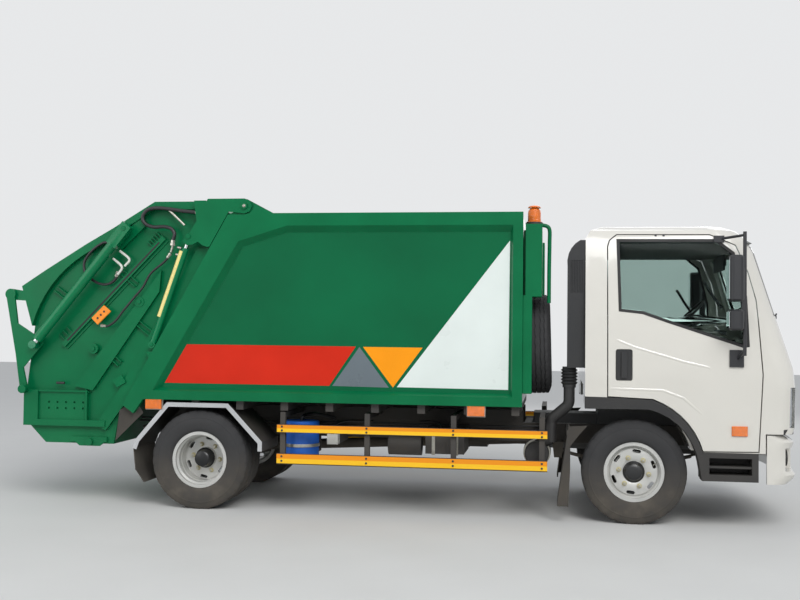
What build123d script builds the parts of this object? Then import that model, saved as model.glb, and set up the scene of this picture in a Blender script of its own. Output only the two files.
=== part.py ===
from build123d import *
import os
from math import atan2, cos, hypot, pi, remainder, sin, sqrt

# Rear-loading garbage truck, in millimetres, +X forward, +Z up.
# The origin is on the ground, at the middle of the truck's length and width.
# Lengths along the truck (x) are measured forward from the rear axle, and in the front
# group from the front axle. Heights (z) are measured up from the ground, and y is
# positive on the left.

os.makedirs("parts", exist_ok=True)

# Driving dimensions
rear_axle_x = -1464.5
wheelbase = 3360.0
tyre_radius = 387.5
tyre_width = 200.0
rim_radius = 222.0
front_tyre_y = 820.0
kingpin_y = 690.0
kingpin_radius = 16.0
outer_twin_y = 860.0
twin_spacing = 232.0
running_gap = 0.06
seat_gap = 0.3

rail_y = 320.0
rail_width = 60.0
rail_depth = 150.0
rail_wall = 8.0
rail_top = 690.0
rail_rear_x = -560.0
rail_front_overhang = 1080.0
subframe_height = 100.0

body_half = 1000.0
body_floor_z = 862.0
body_roof_z = 2330.0
body_to_axle = 830.0
panel_recess = 45.0
panel_wall = 12.0
seam_foot = (-620.0, 810.0)
seam_top = (239.0, 2350.0)
seam_gap = 10.0

tailgate_hinge = (357.0, 2387.0)
hinge_pin_radius = 25.0
gate_wall = 10.0

bin_pivot = (-1617.0, 1686.0)
bin_upper_pin = (-625.0, 2210.0)
bin_rod_pin = (-1385.0, 1279.0)
lift_upper_pin = (-100.0, 2150.0)
lift_lower_pin = (-392.0, 1290.0)

# Front group, x measured from the front axle
cab_rear_x = -365.0
cab_wall = 36.0
cab_sill_z = 560.0
cab_tilt_axis = (1170.0, 720.0)
door_gap = 8.0
door_wall = 42.0

# Places that follow from them
body_front_x = wheelbase - body_to_axle
rail_front_x = wheelbase + rail_front_overhang
rail_inner = rail_y - rail_width / 2
rail_outer = rail_y + rail_width / 2
panel_half = body_half - panel_recess
gate_half = body_half - 120
gate_inner = gate_half - gate_wall
frame_half = gate_half + 50
flange_half = gate_half + 35
ear_inner = body_half - 12
pocket_floor = body_half - 18
lift_y = body_half - 38
bin_y = body_half
axle_z = tyre_radius

datum_x = rear_axle_x


def side_view(y):
    """Plane of the side view at y, x forward from the datum axle and z up."""
    return Plane(origin=(datum_x, y, 0), x_dir=(1, 0, 0), z_dir=(0, -1, 0))


def place(x, y, z):
    """Point measured from the datum axle, in the truck's own frame."""
    return (datum_x + x, y, z)


def prisms(outlines, y0, y1, mode=Mode.ADD):
    """Plates with these outlines in the side view, all from y0 to y1."""
    with BuildSketch(side_view(max(y0, y1))) as profile:
        for points in outlines:
            with BuildLine():
                Polyline(*points, close=True)
            make_face()
    extrude(profile.sketch, amount=abs(y1 - y0), mode=mode)


def prism(points, y0, y1, mode=Mode.ADD):
    """Plate with this outline in the side view, from y0 to y1."""
    prisms([points], y0, y1, mode)


def block(x0, x1, y0, y1, z0, z1, mode=Mode.ADD):
    """Block between two corners, x measured from the datum axle."""
    with Locations(place((x0 + x1) / 2, (y0 + y1) / 2, (z0 + z1) / 2)):
        Box(abs(x1 - x0), abs(y1 - y0), abs(z1 - z0), mode=mode)


def rod(start, end, radius, mode=Mode.ADD):
    """Round bar between two points (x, y, z), x measured from the datum axle."""
    a = Vector(*place(*start))
    axis = Vector(*place(*end)) - a
    with BuildSketch(Plane(origin=a, z_dir=axis)) as circle:
        Circle(radius)
    extrude(circle.sketch, amount=axis.length, mode=mode)


def cross_rod(x, z, y0, y1, radius, mode=Mode.ADD):
    """Round bar across the truck at (x, z) from y0 to y1."""
    rod((x, min(y0, y1), z), (x, max(y0, y1), z), radius, mode)


def slope(start, end):
    """Unit vector from start to end in the side view."""
    length = hypot(end[0] - start[0], end[1] - start[1])
    return (end[0] - start[0]) / length, (end[1] - start[1]) / length


def band(start, end, low, high):
    """Outline of a bar along a line of the side view, between low and high to its left."""
    ux, uz = slope(start, end)
    corners = [(start, low), (end, low), (end, high), (start, high)]
    return [(p[0] - uz * d, p[1] + ux * d) for p, d in corners]


def strip(start, end, low, high, y0, y1, mode=Mode.ADD):
    """Bar along a line of the side view, between low and high to its left."""
    prism(band(start, end, low, high), y0, y1, mode)


def sides(near, far):
    """The same band of y on the right (-1) and on the left (+1)."""
    return [(side, side * near, side * far) for side in (-1, 1)]


def from_pin(pin, direction, distance):
    """Point at a distance from a pin of the side view."""
    return (pin[0] + direction[0] * distance, pin[1] + direction[1] * distance)


def inset(outline, amounts):
    """Outline with each edge, from one point to the next, moved to its left by its own amount."""
    lines = []
    for i, amount in enumerate(amounts):
        start, end = outline[i], outline[(i + 1) % len(outline)]
        ux, uz = slope(start, end)
        lines.append((start[0] - uz * amount, start[1] + ux * amount, ux, uz))
    corners = []
    for i, (x1, z1, ux, uz) in enumerate(lines):
        x0, z0, vx, vz = lines[i - 1]
        along = ((x1 - x0) * uz - (z1 - z0) * ux) / (vx * uz - vz * ux)
        corners.append((x0 + vx * along, z0 + vz * along))
    return corners


def bend(start, middle, end, count):
    """Points on the round stretch through three points, both ends included."""
    (ax, az), (bx, bz), (cx, cz) = start, middle, end
    d = 2 * (ax * (bz - cz) + bx * (cz - az) + cx * (az - bz))
    a2, b2, c2 = ax * ax + az * az, bx * bx + bz * bz, cx * cx + cz * cz
    ox = (a2 * (bz - cz) + b2 * (cz - az) + c2 * (az - bz)) / d
    oz = (a2 * (cx - bx) + b2 * (ax - cx) + c2 * (bx - ax)) / d
    radius = hypot(ax - ox, az - oz)
    first, half, last = [atan2(z - oz, x - ox) for x, z in (start, middle, end)]
    turn = remainder(half - first, 2 * pi) + remainder(last - half, 2 * pi)
    angles = [first + turn * i / (count - 1) for i in range(count)]
    return [(ox + radius * cos(angle), oz + radius * sin(angle)) for angle in angles]


def turned(centre, axis, outline, mode=Mode.ADD):
    """Ring or disc turned about an axis, outline as (radius, distance along the axis)."""
    along = Vector(*axis).normalized()
    radial = along.cross(Vector(0, 0, 1)).normalized() if abs(along.Z) < 0.9 else Vector(1, 0, 0)
    origin = Vector(*place(*centre))
    with BuildSketch(Plane(origin=origin, x_dir=radial, z_dir=radial.cross(along))) as section:
        with BuildLine():
            Polyline(*outline, close=True)
        make_face()
    revolve(section.sketch, axis=Axis(origin, along), mode=mode)


def front_outline(rear, front, half, corner, bow):
    """Plan outline with a straight rear and sides, round front corners and a bowed front."""
    x0, x1 = datum_x + rear, datum_x + front - bow
    turn = corner * (1 - sqrt(0.5))
    with BuildLine() as outline:
        Polyline((x1 - corner, half), (x0, half), (x0, -half), (x1 - corner, -half))
        ThreePointArc((x1 - corner, -half), (x1 - turn, turn - half), (x1, corner - half))
        ThreePointArc((x1, corner - half), (x1 + bow, 0), (x1, half - corner))
        ThreePointArc((x1, half - corner), (x1 - turn, half - turn), (x1 - corner, half))
    make_face(outline.edges())


seam_dir = slope(seam_foot, seam_top)


def seam(z, behind=0.0):
    """Point on the slanted seam between body and tailgate, some way behind it."""
    along = (z - seam_foot[1]) / seam_dir[1]
    x = seam_foot[0] + seam_dir[0] * along
    return (x - behind / seam_dir[1], z)


# Tyre and rim sections as (radius, distance along the wheel's axis)
tread_half = 76.0
section_half = tyre_width / 2
seat_radius = rim_radius - 17
bead_gap = 0.3
tyre_outline = [
    (seat_radius + bead_gap, -58), (seat_radius + bead_gap, 58), (rim_radius + 1, 62), (rim_radius + 2, 78),
    (rim_radius + 14, 90), (rim_radius + 50, section_half), (rim_radius + 105, section_half - 4),
    (tyre_radius - 20, tread_half + 8), (tyre_radius - 4, tread_half - 4), (tyre_radius, tread_half - 26),
    (tyre_radius, 26 - tread_half), (tyre_radius - 4, 4 - tread_half), (tyre_radius - 20, -tread_half - 8),
    (rim_radius + 105, 4 - section_half), (rim_radius + 50, -section_half),
    (rim_radius + 14, -90), (rim_radius + 2, -78), (rim_radius + 1, -62),
]
hub_bore = 82.0
disc_joint = seat_radius - 16
hub_depth = 40.0
hand_holes = 6
hand_hole_radius = 155.0
hand_hole_start = 22.0

barrel_outline = [
    (rim_radius, -74), (rim_radius, -66), (seat_radius, -62), (seat_radius, -44), (seat_radius - 14, -30),
    (seat_radius - 14, 30), (seat_radius, 44), (seat_radius, 62), (rim_radius, 66), (rim_radius, 74),
    (seat_radius - 8, 74), (seat_radius - 8, 46), (seat_radius - 22, 32),
    (seat_radius - 22, -32), (seat_radius - 8, -46), (seat_radius - 8, -74),
]


def wheel_disc(centre, axis, edge, face):
    """Wheel disc from the barrel at one distance to its raised face at another, with its hand holes."""
    out = 1 if face > edge else -1
    turned(centre, axis, [
        (disc_joint, edge + 6 * out), (disc_joint - 7, face - 8 * out), (disc_joint - 17, face + 4 * out),
        (135, face + 6 * out), (hub_bore + 14, face + 6 * out), (hub_bore, face + out), (hub_bore, face - 7 * out),
        (hub_bore + 14, face - 5 * out), (135, face - 5 * out), (disc_joint - 24, face - 7 * out),
        (disc_joint - 16, face - 14 * out), (disc_joint - 9, edge - 6 * out), (disc_joint, edge - 6 * out),
    ])
    origin = Vector(*place(*centre)) + Vector(*axis).normalized() * face
    with BuildSketch(Plane(origin=origin, x_dir=Vector(*axis).cross(Vector(0, 0, 1)), z_dir=axis)) as holes:
        with PolarLocations(hand_hole_radius, hand_holes, start_angle=hand_hole_start):
            SlotOverall(62, 26, rotation=90)
    extrude(holes.sketch, amount=24, both=True, mode=Mode.SUBTRACT)


def save(builder, name):
    builder.part.label = name
    export_step(builder.part, f"parts/{name}.step")


# Chassis frame: two channel rails and the cab pivot brackets with their pins
bracket_half = 15.0
with BuildPart() as chassis_frame:
    for side, y0, y1 in sides(rail_inner, rail_outer):
        block(rail_rear_x, rail_front_x, y0, y1, rail_top - rail_depth, rail_top)
        block(rail_rear_x, rail_front_x, y0, side * (rail_outer - rail_wall),
              rail_top - rail_depth + rail_wall, rail_top - rail_wall, mode=Mode.SUBTRACT)
    for side, y0, y1 in sides(rail_y - bracket_half, rail_y + bracket_half):
        pivot_x, pivot_z = wheelbase + cab_tilt_axis[0], cab_tilt_axis[1]
        prism([(pivot_x - 190, rail_top - 1), (pivot_x - 90, rail_top - 60), (pivot_x, pivot_z - 30),
               (pivot_x + 26, pivot_z - 15), (pivot_x + 26, pivot_z + 15), (pivot_x, pivot_z + 27),
               (pivot_x - 25, pivot_z + 18), (pivot_x - 80, pivot_z)], y0, y1)
        cross_rod(pivot_x, pivot_z, side * (rail_y - 60), side * (rail_y + 60), 15)
save(chassis_frame, "chassis_frame")

# Cross members between the rails, with the rear and front tow jaws
tow_eye_radius = 20.0
tow_jaw_radius = 45.0
tow_plate = 24.0
front_tow = (wheelbase + 1135.0, 520.0)
rear_tow = (-600.0, 555.0)
cross_depth = 92.0
member_top = rail_top - rail_wall
web_face = rail_outer - rail_wall
cross_table = [  # x, half width in x, half length in y
    (rail_rear_x + 40.0, 40.0, web_face), (520.0, 30.0, web_face), (1450.0, 30.0, web_face),
    (wheelbase - 800.0, 30.0, web_face), (rail_front_x - 60.0, 40.0, rail_y - bracket_half),
]
tow_table = [  # (x, z) of the eye, x of its cross member, way outwards
    (rear_tow, rail_rear_x + 40.0, -1), (front_tow, rail_front_x - 60.0, 1),
]
with BuildPart() as cross_members:
    for x, half, reach in cross_table:
        block(x - half, x + half, -reach, reach, member_top - cross_depth, member_top)
    web_top = member_top - cross_depth + 5
    for (x, z), member_x, out in tow_table:
        near, low, high = member_x - out * 40, z - tow_plate / 2, z + tow_plate / 2
        prism([(near, web_top), (near, low), (x - out * 26, low), (x - out * 26, high), (member_x + out * 40, web_top)],
              -tow_plate / 2, tow_plate / 2)
        with BuildSketch(Plane.XY.offset(low)) as tow_jaw:
            with Locations(place((near + x) / 2, 0, 0)[:2]):
                Rectangle(abs(x - near), 2 * tow_jaw_radius)
            with Locations(place(x, 0, 0)[:2]):
                Circle(tow_jaw_radius)
                Circle(tow_eye_radius, mode=Mode.SUBTRACT)
        extrude(tow_jaw.sketch, amount=tow_plate)
save(cross_members, "cross_members")

# Sub-frame: two long beams on the chassis and cross bearers under the body
bearer_top = body_floor_z - 2.0
bearer_start = 330.0
bearer_end = body_front_x - 50
bearer_count = 7
flat_bearer = 18.0
with BuildPart() as sub_frame:
    for side, y0, y1 in sides(rail_inner, rail_outer):
        block(-460, body_front_x - 10, y0, y1, rail_top, rail_top + subframe_height)
    for i in range(-1, bearer_count):
        x = -380.0 if i < 0 else bearer_start + (bearer_end - bearer_start) * i / (bearer_count - 1)
        block(x - 30, x + 30, -panel_half, panel_half, rail_top + subframe_height, bearer_top)
    block(-60, 0, -panel_half, panel_half, bearer_top - flat_bearer, bearer_top)
    block(-60, 0, -rail_y - 20, rail_y + 20, rail_top + subframe_height, bearer_top)
save(sub_frame, "sub_frame")

# Front axle: forged beam, dropped between its ends, with kingpin eyes
spring_y = 430.0
beam_drop = 70.0
beam_half = 45.0
axle_tube = 62.0
pin_eye_half = 36.0
with BuildPart() as front_axle:
    with BuildSketch(Plane.YZ.offset(rear_axle_x + wheelbase)) as beam:
        with BuildLine():
            Polyline((-kingpin_y, axle_z + pin_eye_half), (-kingpin_y, axle_z - pin_eye_half),
                     (-600, axle_z - pin_eye_half), (-500, axle_z - beam_drop - beam_half),
                     (500, axle_z - beam_drop - beam_half), (600, axle_z - pin_eye_half),
                     (kingpin_y, axle_z - pin_eye_half), (kingpin_y, axle_z + pin_eye_half),
                     (600, axle_z + pin_eye_half), (500, axle_z - beam_drop + beam_half),
                     (-500, axle_z - beam_drop + beam_half), (-600, axle_z + pin_eye_half), close=True)
        make_face()
    extrude(beam.sketch, amount=34, both=True)
    for side in (-1, 1):
        rod((wheelbase, side * kingpin_y, axle_z - pin_eye_half),
            (wheelbase, side * kingpin_y, axle_z + pin_eye_half), 38)
        rod((wheelbase, side * kingpin_y, axle_z - 60), (wheelbase, side * kingpin_y, axle_z + 60),
            kingpin_radius + running_gap, Mode.SUBTRACT)
save(front_axle, "front_axle")

# Rear axle: banjo housing with its tubes, and the propeller shaft up to the gearbox
with BuildPart() as rear_axle:
    cross_rod(0, axle_z, -500, 500, axle_tube)
    hub_face = outer_twin_y - twin_spacing / 2 - hub_depth - seat_gap
    cross_rod(0, axle_z, -hub_face, hub_face, 50)
    turned((0, 0, axle_z), (1, 0, 0), [(0, -146), (60, -146), (105, -120), (132, -60), (132, 60), (105, 110),
                                       (70, 130), (0, 130)])
    rod((120, 0, axle_z), (310, 0, axle_z + 30), 60)
    rod((300, 0, axle_z + 28), (wheelbase - 770, 0, 530), 42)
save(rear_axle, "rear_axle_and_shaft")

# Leaf springs: stacks of leaves over each axle, with clamp plates and shackle hangers
leaf_thickness = 11.0
springs = [  # axle x, y, half length, leaves, seat height above the axle centre, hanger height
    (wheelbase, spring_y, 560.0, 5, beam_half - beam_drop + seat_gap, rail_top - rail_depth + 12),
    (0.0, spring_y, 620.0, 7, axle_tube + seat_gap, rail_top - rail_depth + 60),
]
with BuildPart() as leaf_springs:
    for x, y, half, leaves, seat, hanger_z in springs:
        for side, y0, y1 in sides(y - 32, y + 32):
            base = axle_z + seat
            tip = base + 85
            for leaf in range(leaves):
                reach = half * (1 - leaf * 0.8 / leaves)
                rise = (tip - base) * (reach / half) ** 2
                low = base + (leaves - 1 - leaf) * leaf_thickness
                with BuildSketch(side_view(max(y0, y1))) as leaf_shape:
                    with BuildLine():
                        top = ThreePointArc((x - reach, low + rise + leaf_thickness),
                                            (x, low + leaf_thickness), (x + reach, low + rise + leaf_thickness))
                        Line(top @ 1, (x + reach, low + rise))
                        bottom = ThreePointArc((x + reach, low + rise), (x, low), (x - reach, low + rise))
                        Line(bottom @ 1, top @ 0)
                    make_face()
                extrude(leaf_shape.sketch, amount=64)
            block(x - 60, x + 60, y0, y1, base + leaves * leaf_thickness - 2,
                  base + leaves * leaf_thickness + 20)
            for end in (-1, 1):
                prism([(x + end * half - 30, tip - 18), (x + end * half + 30, tip - 18),
                       (x + end * half + 45, hanger_z), (x + end * half - 45, hanger_z)],
                      side * rail_outer, y1)
save(leaf_springs, "leaf_springs")

# Fuel tank on the left rail with its two straps
with BuildPart() as fuel_tank:
    with BuildSketch(Plane.YZ.offset(rear_axle_x + 1500)) as tank:
        with Locations((640, 560)):
            RectangleRounded(420, 330, 60)
    extrude(tank.sketch, amount=680)
    for x in (1620, 1980):
        with BuildSketch(Plane.YZ.offset(rear_axle_x + x)) as strap:
            with Locations((640, 560)):
                RectangleRounded(432, 342, 66)
        extrude(strap.sketch, amount=40)
        block(x, x + 40, rail_outer, 430, 500, 640)
    with Locations(place(1620, 800, 725)):
        Cylinder(38, 40)
save(fuel_tank, "fuel_tank")

# Equipment on the right rail: blue drum, battery box, air tanks and small boxes
drum_centre = (776.0, -740.0, 560.0)
with BuildPart() as side_equipment:
    turned(drum_centre, (0, 0, 1), [(0, -140), (136, -140), (142, -132), (142, -64), (146, -60), (142, -56),
                                    (142, 56), (146, 60), (142, 64), (142, 132), (136, 140), (0, 140)])
    block(700, 852, -640, -rail_outer, 420, 440)
    block(700, 852, -rail_outer - 12, -rail_outer, 440, 640)
    block(700, 852, -870, -640, 412, 420 - seat_gap)
    block(700, 852, -640, -628, 412, 440)
    block(994, 1080, -780, -rail_outer, 520, 600)
    rod((1480, -700, 520), (1740, -700, 520), 75)
    block(1580, 1620, -640, -rail_outer, 500, 560)
    block(1780, 2080, -800, -rail_outer, 470, 640)
    block(1770, 2090, -810, -rail_outer, 640, 660)
save(side_equipment, "side_equipment")

# Side guard rails, both sides, and the posts that carry them
guard_half = body_half - 15
guard_span = (640.0, body_front_x + 190)
guard_post_count = 4
with BuildPart() as guard_rails:
    for side, y0, y1 in sides(guard_half - 25, guard_half):
        for low, high in ((385.0, 460.0), (625.0, 685.0)):
            block(guard_span[0], guard_span[1], y0, y1, low, high)
save(guard_rails, "guard_rails")
with BuildPart() as guard_posts:
    for side in (-1, 1):
        for i in range(guard_post_count):
            x = guard_span[0] + 40 + (guard_span[1] - guard_span[0] - 80) * i / (guard_post_count - 1)
            block(x - 20, x + 20, side * (guard_half - 65), side * (guard_half - 25), 390, 780)
            block(x - 20, x + 20, side * (guard_half - 65), side * rail_outer, 740, 780)
save(guard_posts, "guard_posts")

# Rear fenders: folded black sheet over each twin pair, its lip turned in along the outer edge
fender_line = [(-540.0, 470.0), (-515.0, 540.0), (-262.0, 838.0), (240.0, 838.0), (520.0, 545.0), (520.0, 470.0)]
fender_sheet = 6.0
fender_lip = 34.0
fender_half = body_half - 25
with BuildPart() as rear_fenders:
    folds = len(fender_line) - 1
    fender_inner = inset(fender_line, [-fender_sheet] * folds + [0.0])
    lip_inner = inset(fender_line, [-fender_lip] * folds + [0.0])
    for side, y0, y1 in sides(500, fender_half):
        prism(fender_line + fender_inner[::-1], y0, y1)
        prism(fender_line + lip_inner[::-1], side * (fender_half - 5), y1)
        block(-30, 10, side * rail_outer, side * 500, 780, 838)
save(rear_fenders, "rear_fenders")

# Mudflaps behind the rear wheels and the rubber skirt under the body's rear corner
with BuildPart() as mudflaps:
    for side, y0, y1 in sides(520, body_half - 40):
        prism([(-540, 470), (-532, 470), (-512, 300), (-440, 200), (-448, 200), (-520, 300)], y0, y1)
        prism([(-605, 800), (-495, 800), (-463, 748), (-692, 523), (-662, 765)],
              side * (panel_half - seat_gap - 6), side * (panel_half - seat_gap))
save(mudflaps, "mudflaps")

# Body shell: floor, roof, side panels and front wall, open to the tailgate
shell_front = body_front_x - 10
shell_top = body_roof_z - 10
with BuildPart() as body_shell:
    prism([seam(body_floor_z), (shell_front, body_floor_z), (shell_front, shell_top), seam(shell_top)],
          -panel_half, panel_half)
    prism([seam(body_floor_z + panel_wall, 40), (shell_front - panel_wall, body_floor_z + panel_wall),
           (shell_front - panel_wall, shell_top - panel_wall), seam(shell_top - panel_wall, 40)],
          -panel_half + panel_wall, panel_half - panel_wall, Mode.SUBTRACT)
save(body_shell, "body_shell")

# Body frame: rails and slanted posts around each side panel, and the tailgate hinge lugs
lug_outline = [(588.0, body_roof_z), (372.0, 2443.0), (343.0, 2443.0), (300.0, 2412.0), (272.0, 2345.0)]
pocket_outline = [(588.0, body_roof_z), (440.0, 2398.0), (426.0, 2356.0), (396.0, 2328.0), (357.0, 2320.0)]
panel_opening = [(-375.0, 930.0), (body_front_x - 75, 930.0), (body_front_x - 75, body_roof_z - 98),
                 (700.0, body_roof_z - 98), (310.0, body_roof_z - 220)]
opening_bevels = [25.0, 20.0, 51.0, 48.0, 46.0]
with BuildPart() as body_frame:
    for side in (-1, 1):
        for near, far, corner in ((panel_half, pocket_floor, lug_outline), (pocket_floor, body_half, pocket_outline)):
            prism([(-450, 860), (body_front_x, 860), (body_front_x, body_roof_z)] + corner
                  + [seam(2320), seam_foot, (-530, 747)], side * near, side * far)
        with BuildSketch(side_view(side * (body_half + 0.5))) as face_opening:
            with BuildLine():
                Polyline(*panel_opening, close=True)
            make_face()
        with BuildSketch(side_view(side * (panel_half - 0.5))) as back_opening:
            with BuildLine():
                Polyline(*inset(panel_opening, opening_bevels), close=True)
            make_face()
        loft([face_opening.sketch, back_opening.sketch], ruled=True, mode=Mode.SUBTRACT)
        cross_rod(tailgate_hinge[0], tailgate_hinge[1], side * pocket_floor, side * (body_half + 14),
                  hinge_pin_radius)
        # bracket of the tailgate lift cylinder behind the post, and its pin
        prism([seam(1340), (-425, 1335), (-435, 1250), seam(1160)], side * (panel_half - 35), side * (panel_half - 25))
        prism([seam(1235), (-432, 1235), seam(1195)], side * (panel_half - 30), side * panel_half)
        prism([seam(1235, -25), (-432, 1235), seam(1150, -25)], side * panel_half, side * (body_half - 10))
        cross_rod(lift_lower_pin[0], lift_lower_pin[1], side * (panel_half - 30), side * (body_half - 4), 14)
save(body_frame, "body_frame")

# Marker lamps under the body's edge and the beacon on the front column
with BuildPart() as marker_lamps:
    for side, y0, y1 in sides(body_half - 23, body_half - 3):
        for x in (-365, body_front_x - 345):
            block(x - 65, x + 65, y0, y1, 785, 859.7)
    turned((body_front_x + 80, -body_half + 120, 2240 + seat_gap), (0, 0, 1),
           [(0, 0), (58, 0), (58, 24), (50, 28), (50, 92), (46, 110), (34, 124), (16, 130), (0, 130)])
save(marker_lamps, "marker_lamps")

# Ejector panel: slides in the body towards the tailgate
ejector_x = body_front_x - 190
ejector_foot = body_floor_z + 32
with BuildPart() as ejector_panel:
    block(ejector_x, ejector_x + 60, 30 - panel_half, panel_half - 30, ejector_foot, body_roof_z - 40)
    for y in (-600, 0, 600):
        prism([(ejector_x + 60, ejector_foot), (ejector_x + 150, ejector_foot), (ejector_x + 60, 2200)],
              y - 20, y + 20)
        block(ejector_x, ejector_x + 150, y - 40, y + 40, body_floor_z + panel_wall + seat_gap, ejector_foot)
save(ejector_panel, "ejector_panel")

# Tailgate side walls
gate_outline = [
    (18.0, 2422.0), (-400.0, 2422.0), (-751.0, 2214.0), (-980.0, 2086.0), (-1310.0, 1880.0),
    (-1521.0, 1742.0), (-1436.0, 1430.0), (-1497.0, 900.0), (-1497.0, 634.0), (-1458.0, 624.0),
    (-1320.0, 486.0), (-739.0, 486.0), (-700.0, 700.0), seam(862.0, seam_gap), seam(2330.0, seam_gap),
]
with BuildPart() as gate_walls:
    for side, y0, y1 in sides(gate_inner, gate_half):
        prism(gate_outline, y0, y1)
save(gate_walls, "tailgate_walls")

# Tailgate roof and the hopper floor between the walls
roof_line = [(seam(2334.0, seam_gap)[0], 2334.0), (20.0, 2434.0), (-407.0, 2434.0), (-751.0, 2226.0),
             (-980.0, 2096.0), (-1317.0, 1890.0), (-1531.0, 1752.0)]
roof_sheet = 12.0
with BuildPart() as gate_roof:
    under = [(x - 6 if i == 0 else x + 2, z - roof_sheet) for i, (x, z) in enumerate(roof_line)]
    prism(roof_line + under[::-1], -gate_inner, gate_inner)
save(gate_roof, "tailgate_roof")
with BuildPart() as hopper:
    floor_line = [(-1497.0, 900.0), (-1497.0, 630.0), (-1458.0, 624.0), (-1320.0, 486.0),
                  (-739.0, 486.0), (-690.0, 700.0), (-606.0, 862.0)]
    inner_line = [(-1485.0, 900.0), (-1485.0, 636.0), (-1452.0, 634.0), (-1314.0, 498.0),
                  (-752.0, 498.0), (-703.0, 700.0), (-620.0, 862.0)]
    prism(floor_line + inner_line[::-1], -gate_inner, gate_inner)
    # folded edge where the bins are tipped
    block(-1497, -1455, -gate_inner, gate_inner, 872, 900)
save(hopper, "hopper_floor")

# Tailgate frames: guide channels, beams, stiffeners, flanges, hinge ears and lugs
guide_start = (-334.0, 2149.0)
guide_end = (-1175.0, 1274.0)
guide_dir = slope(guide_start, guide_end)
guide_normal = (guide_dir[1], -guide_dir[0])


def on_guide(along, above):
    """Point given along the guide and square to it, towards the rear above."""
    return (guide_start[0] + guide_dir[0] * along + guide_normal[0] * above,
            guide_start[1] + guide_dir[1] * along + guide_normal[1] * above)


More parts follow.
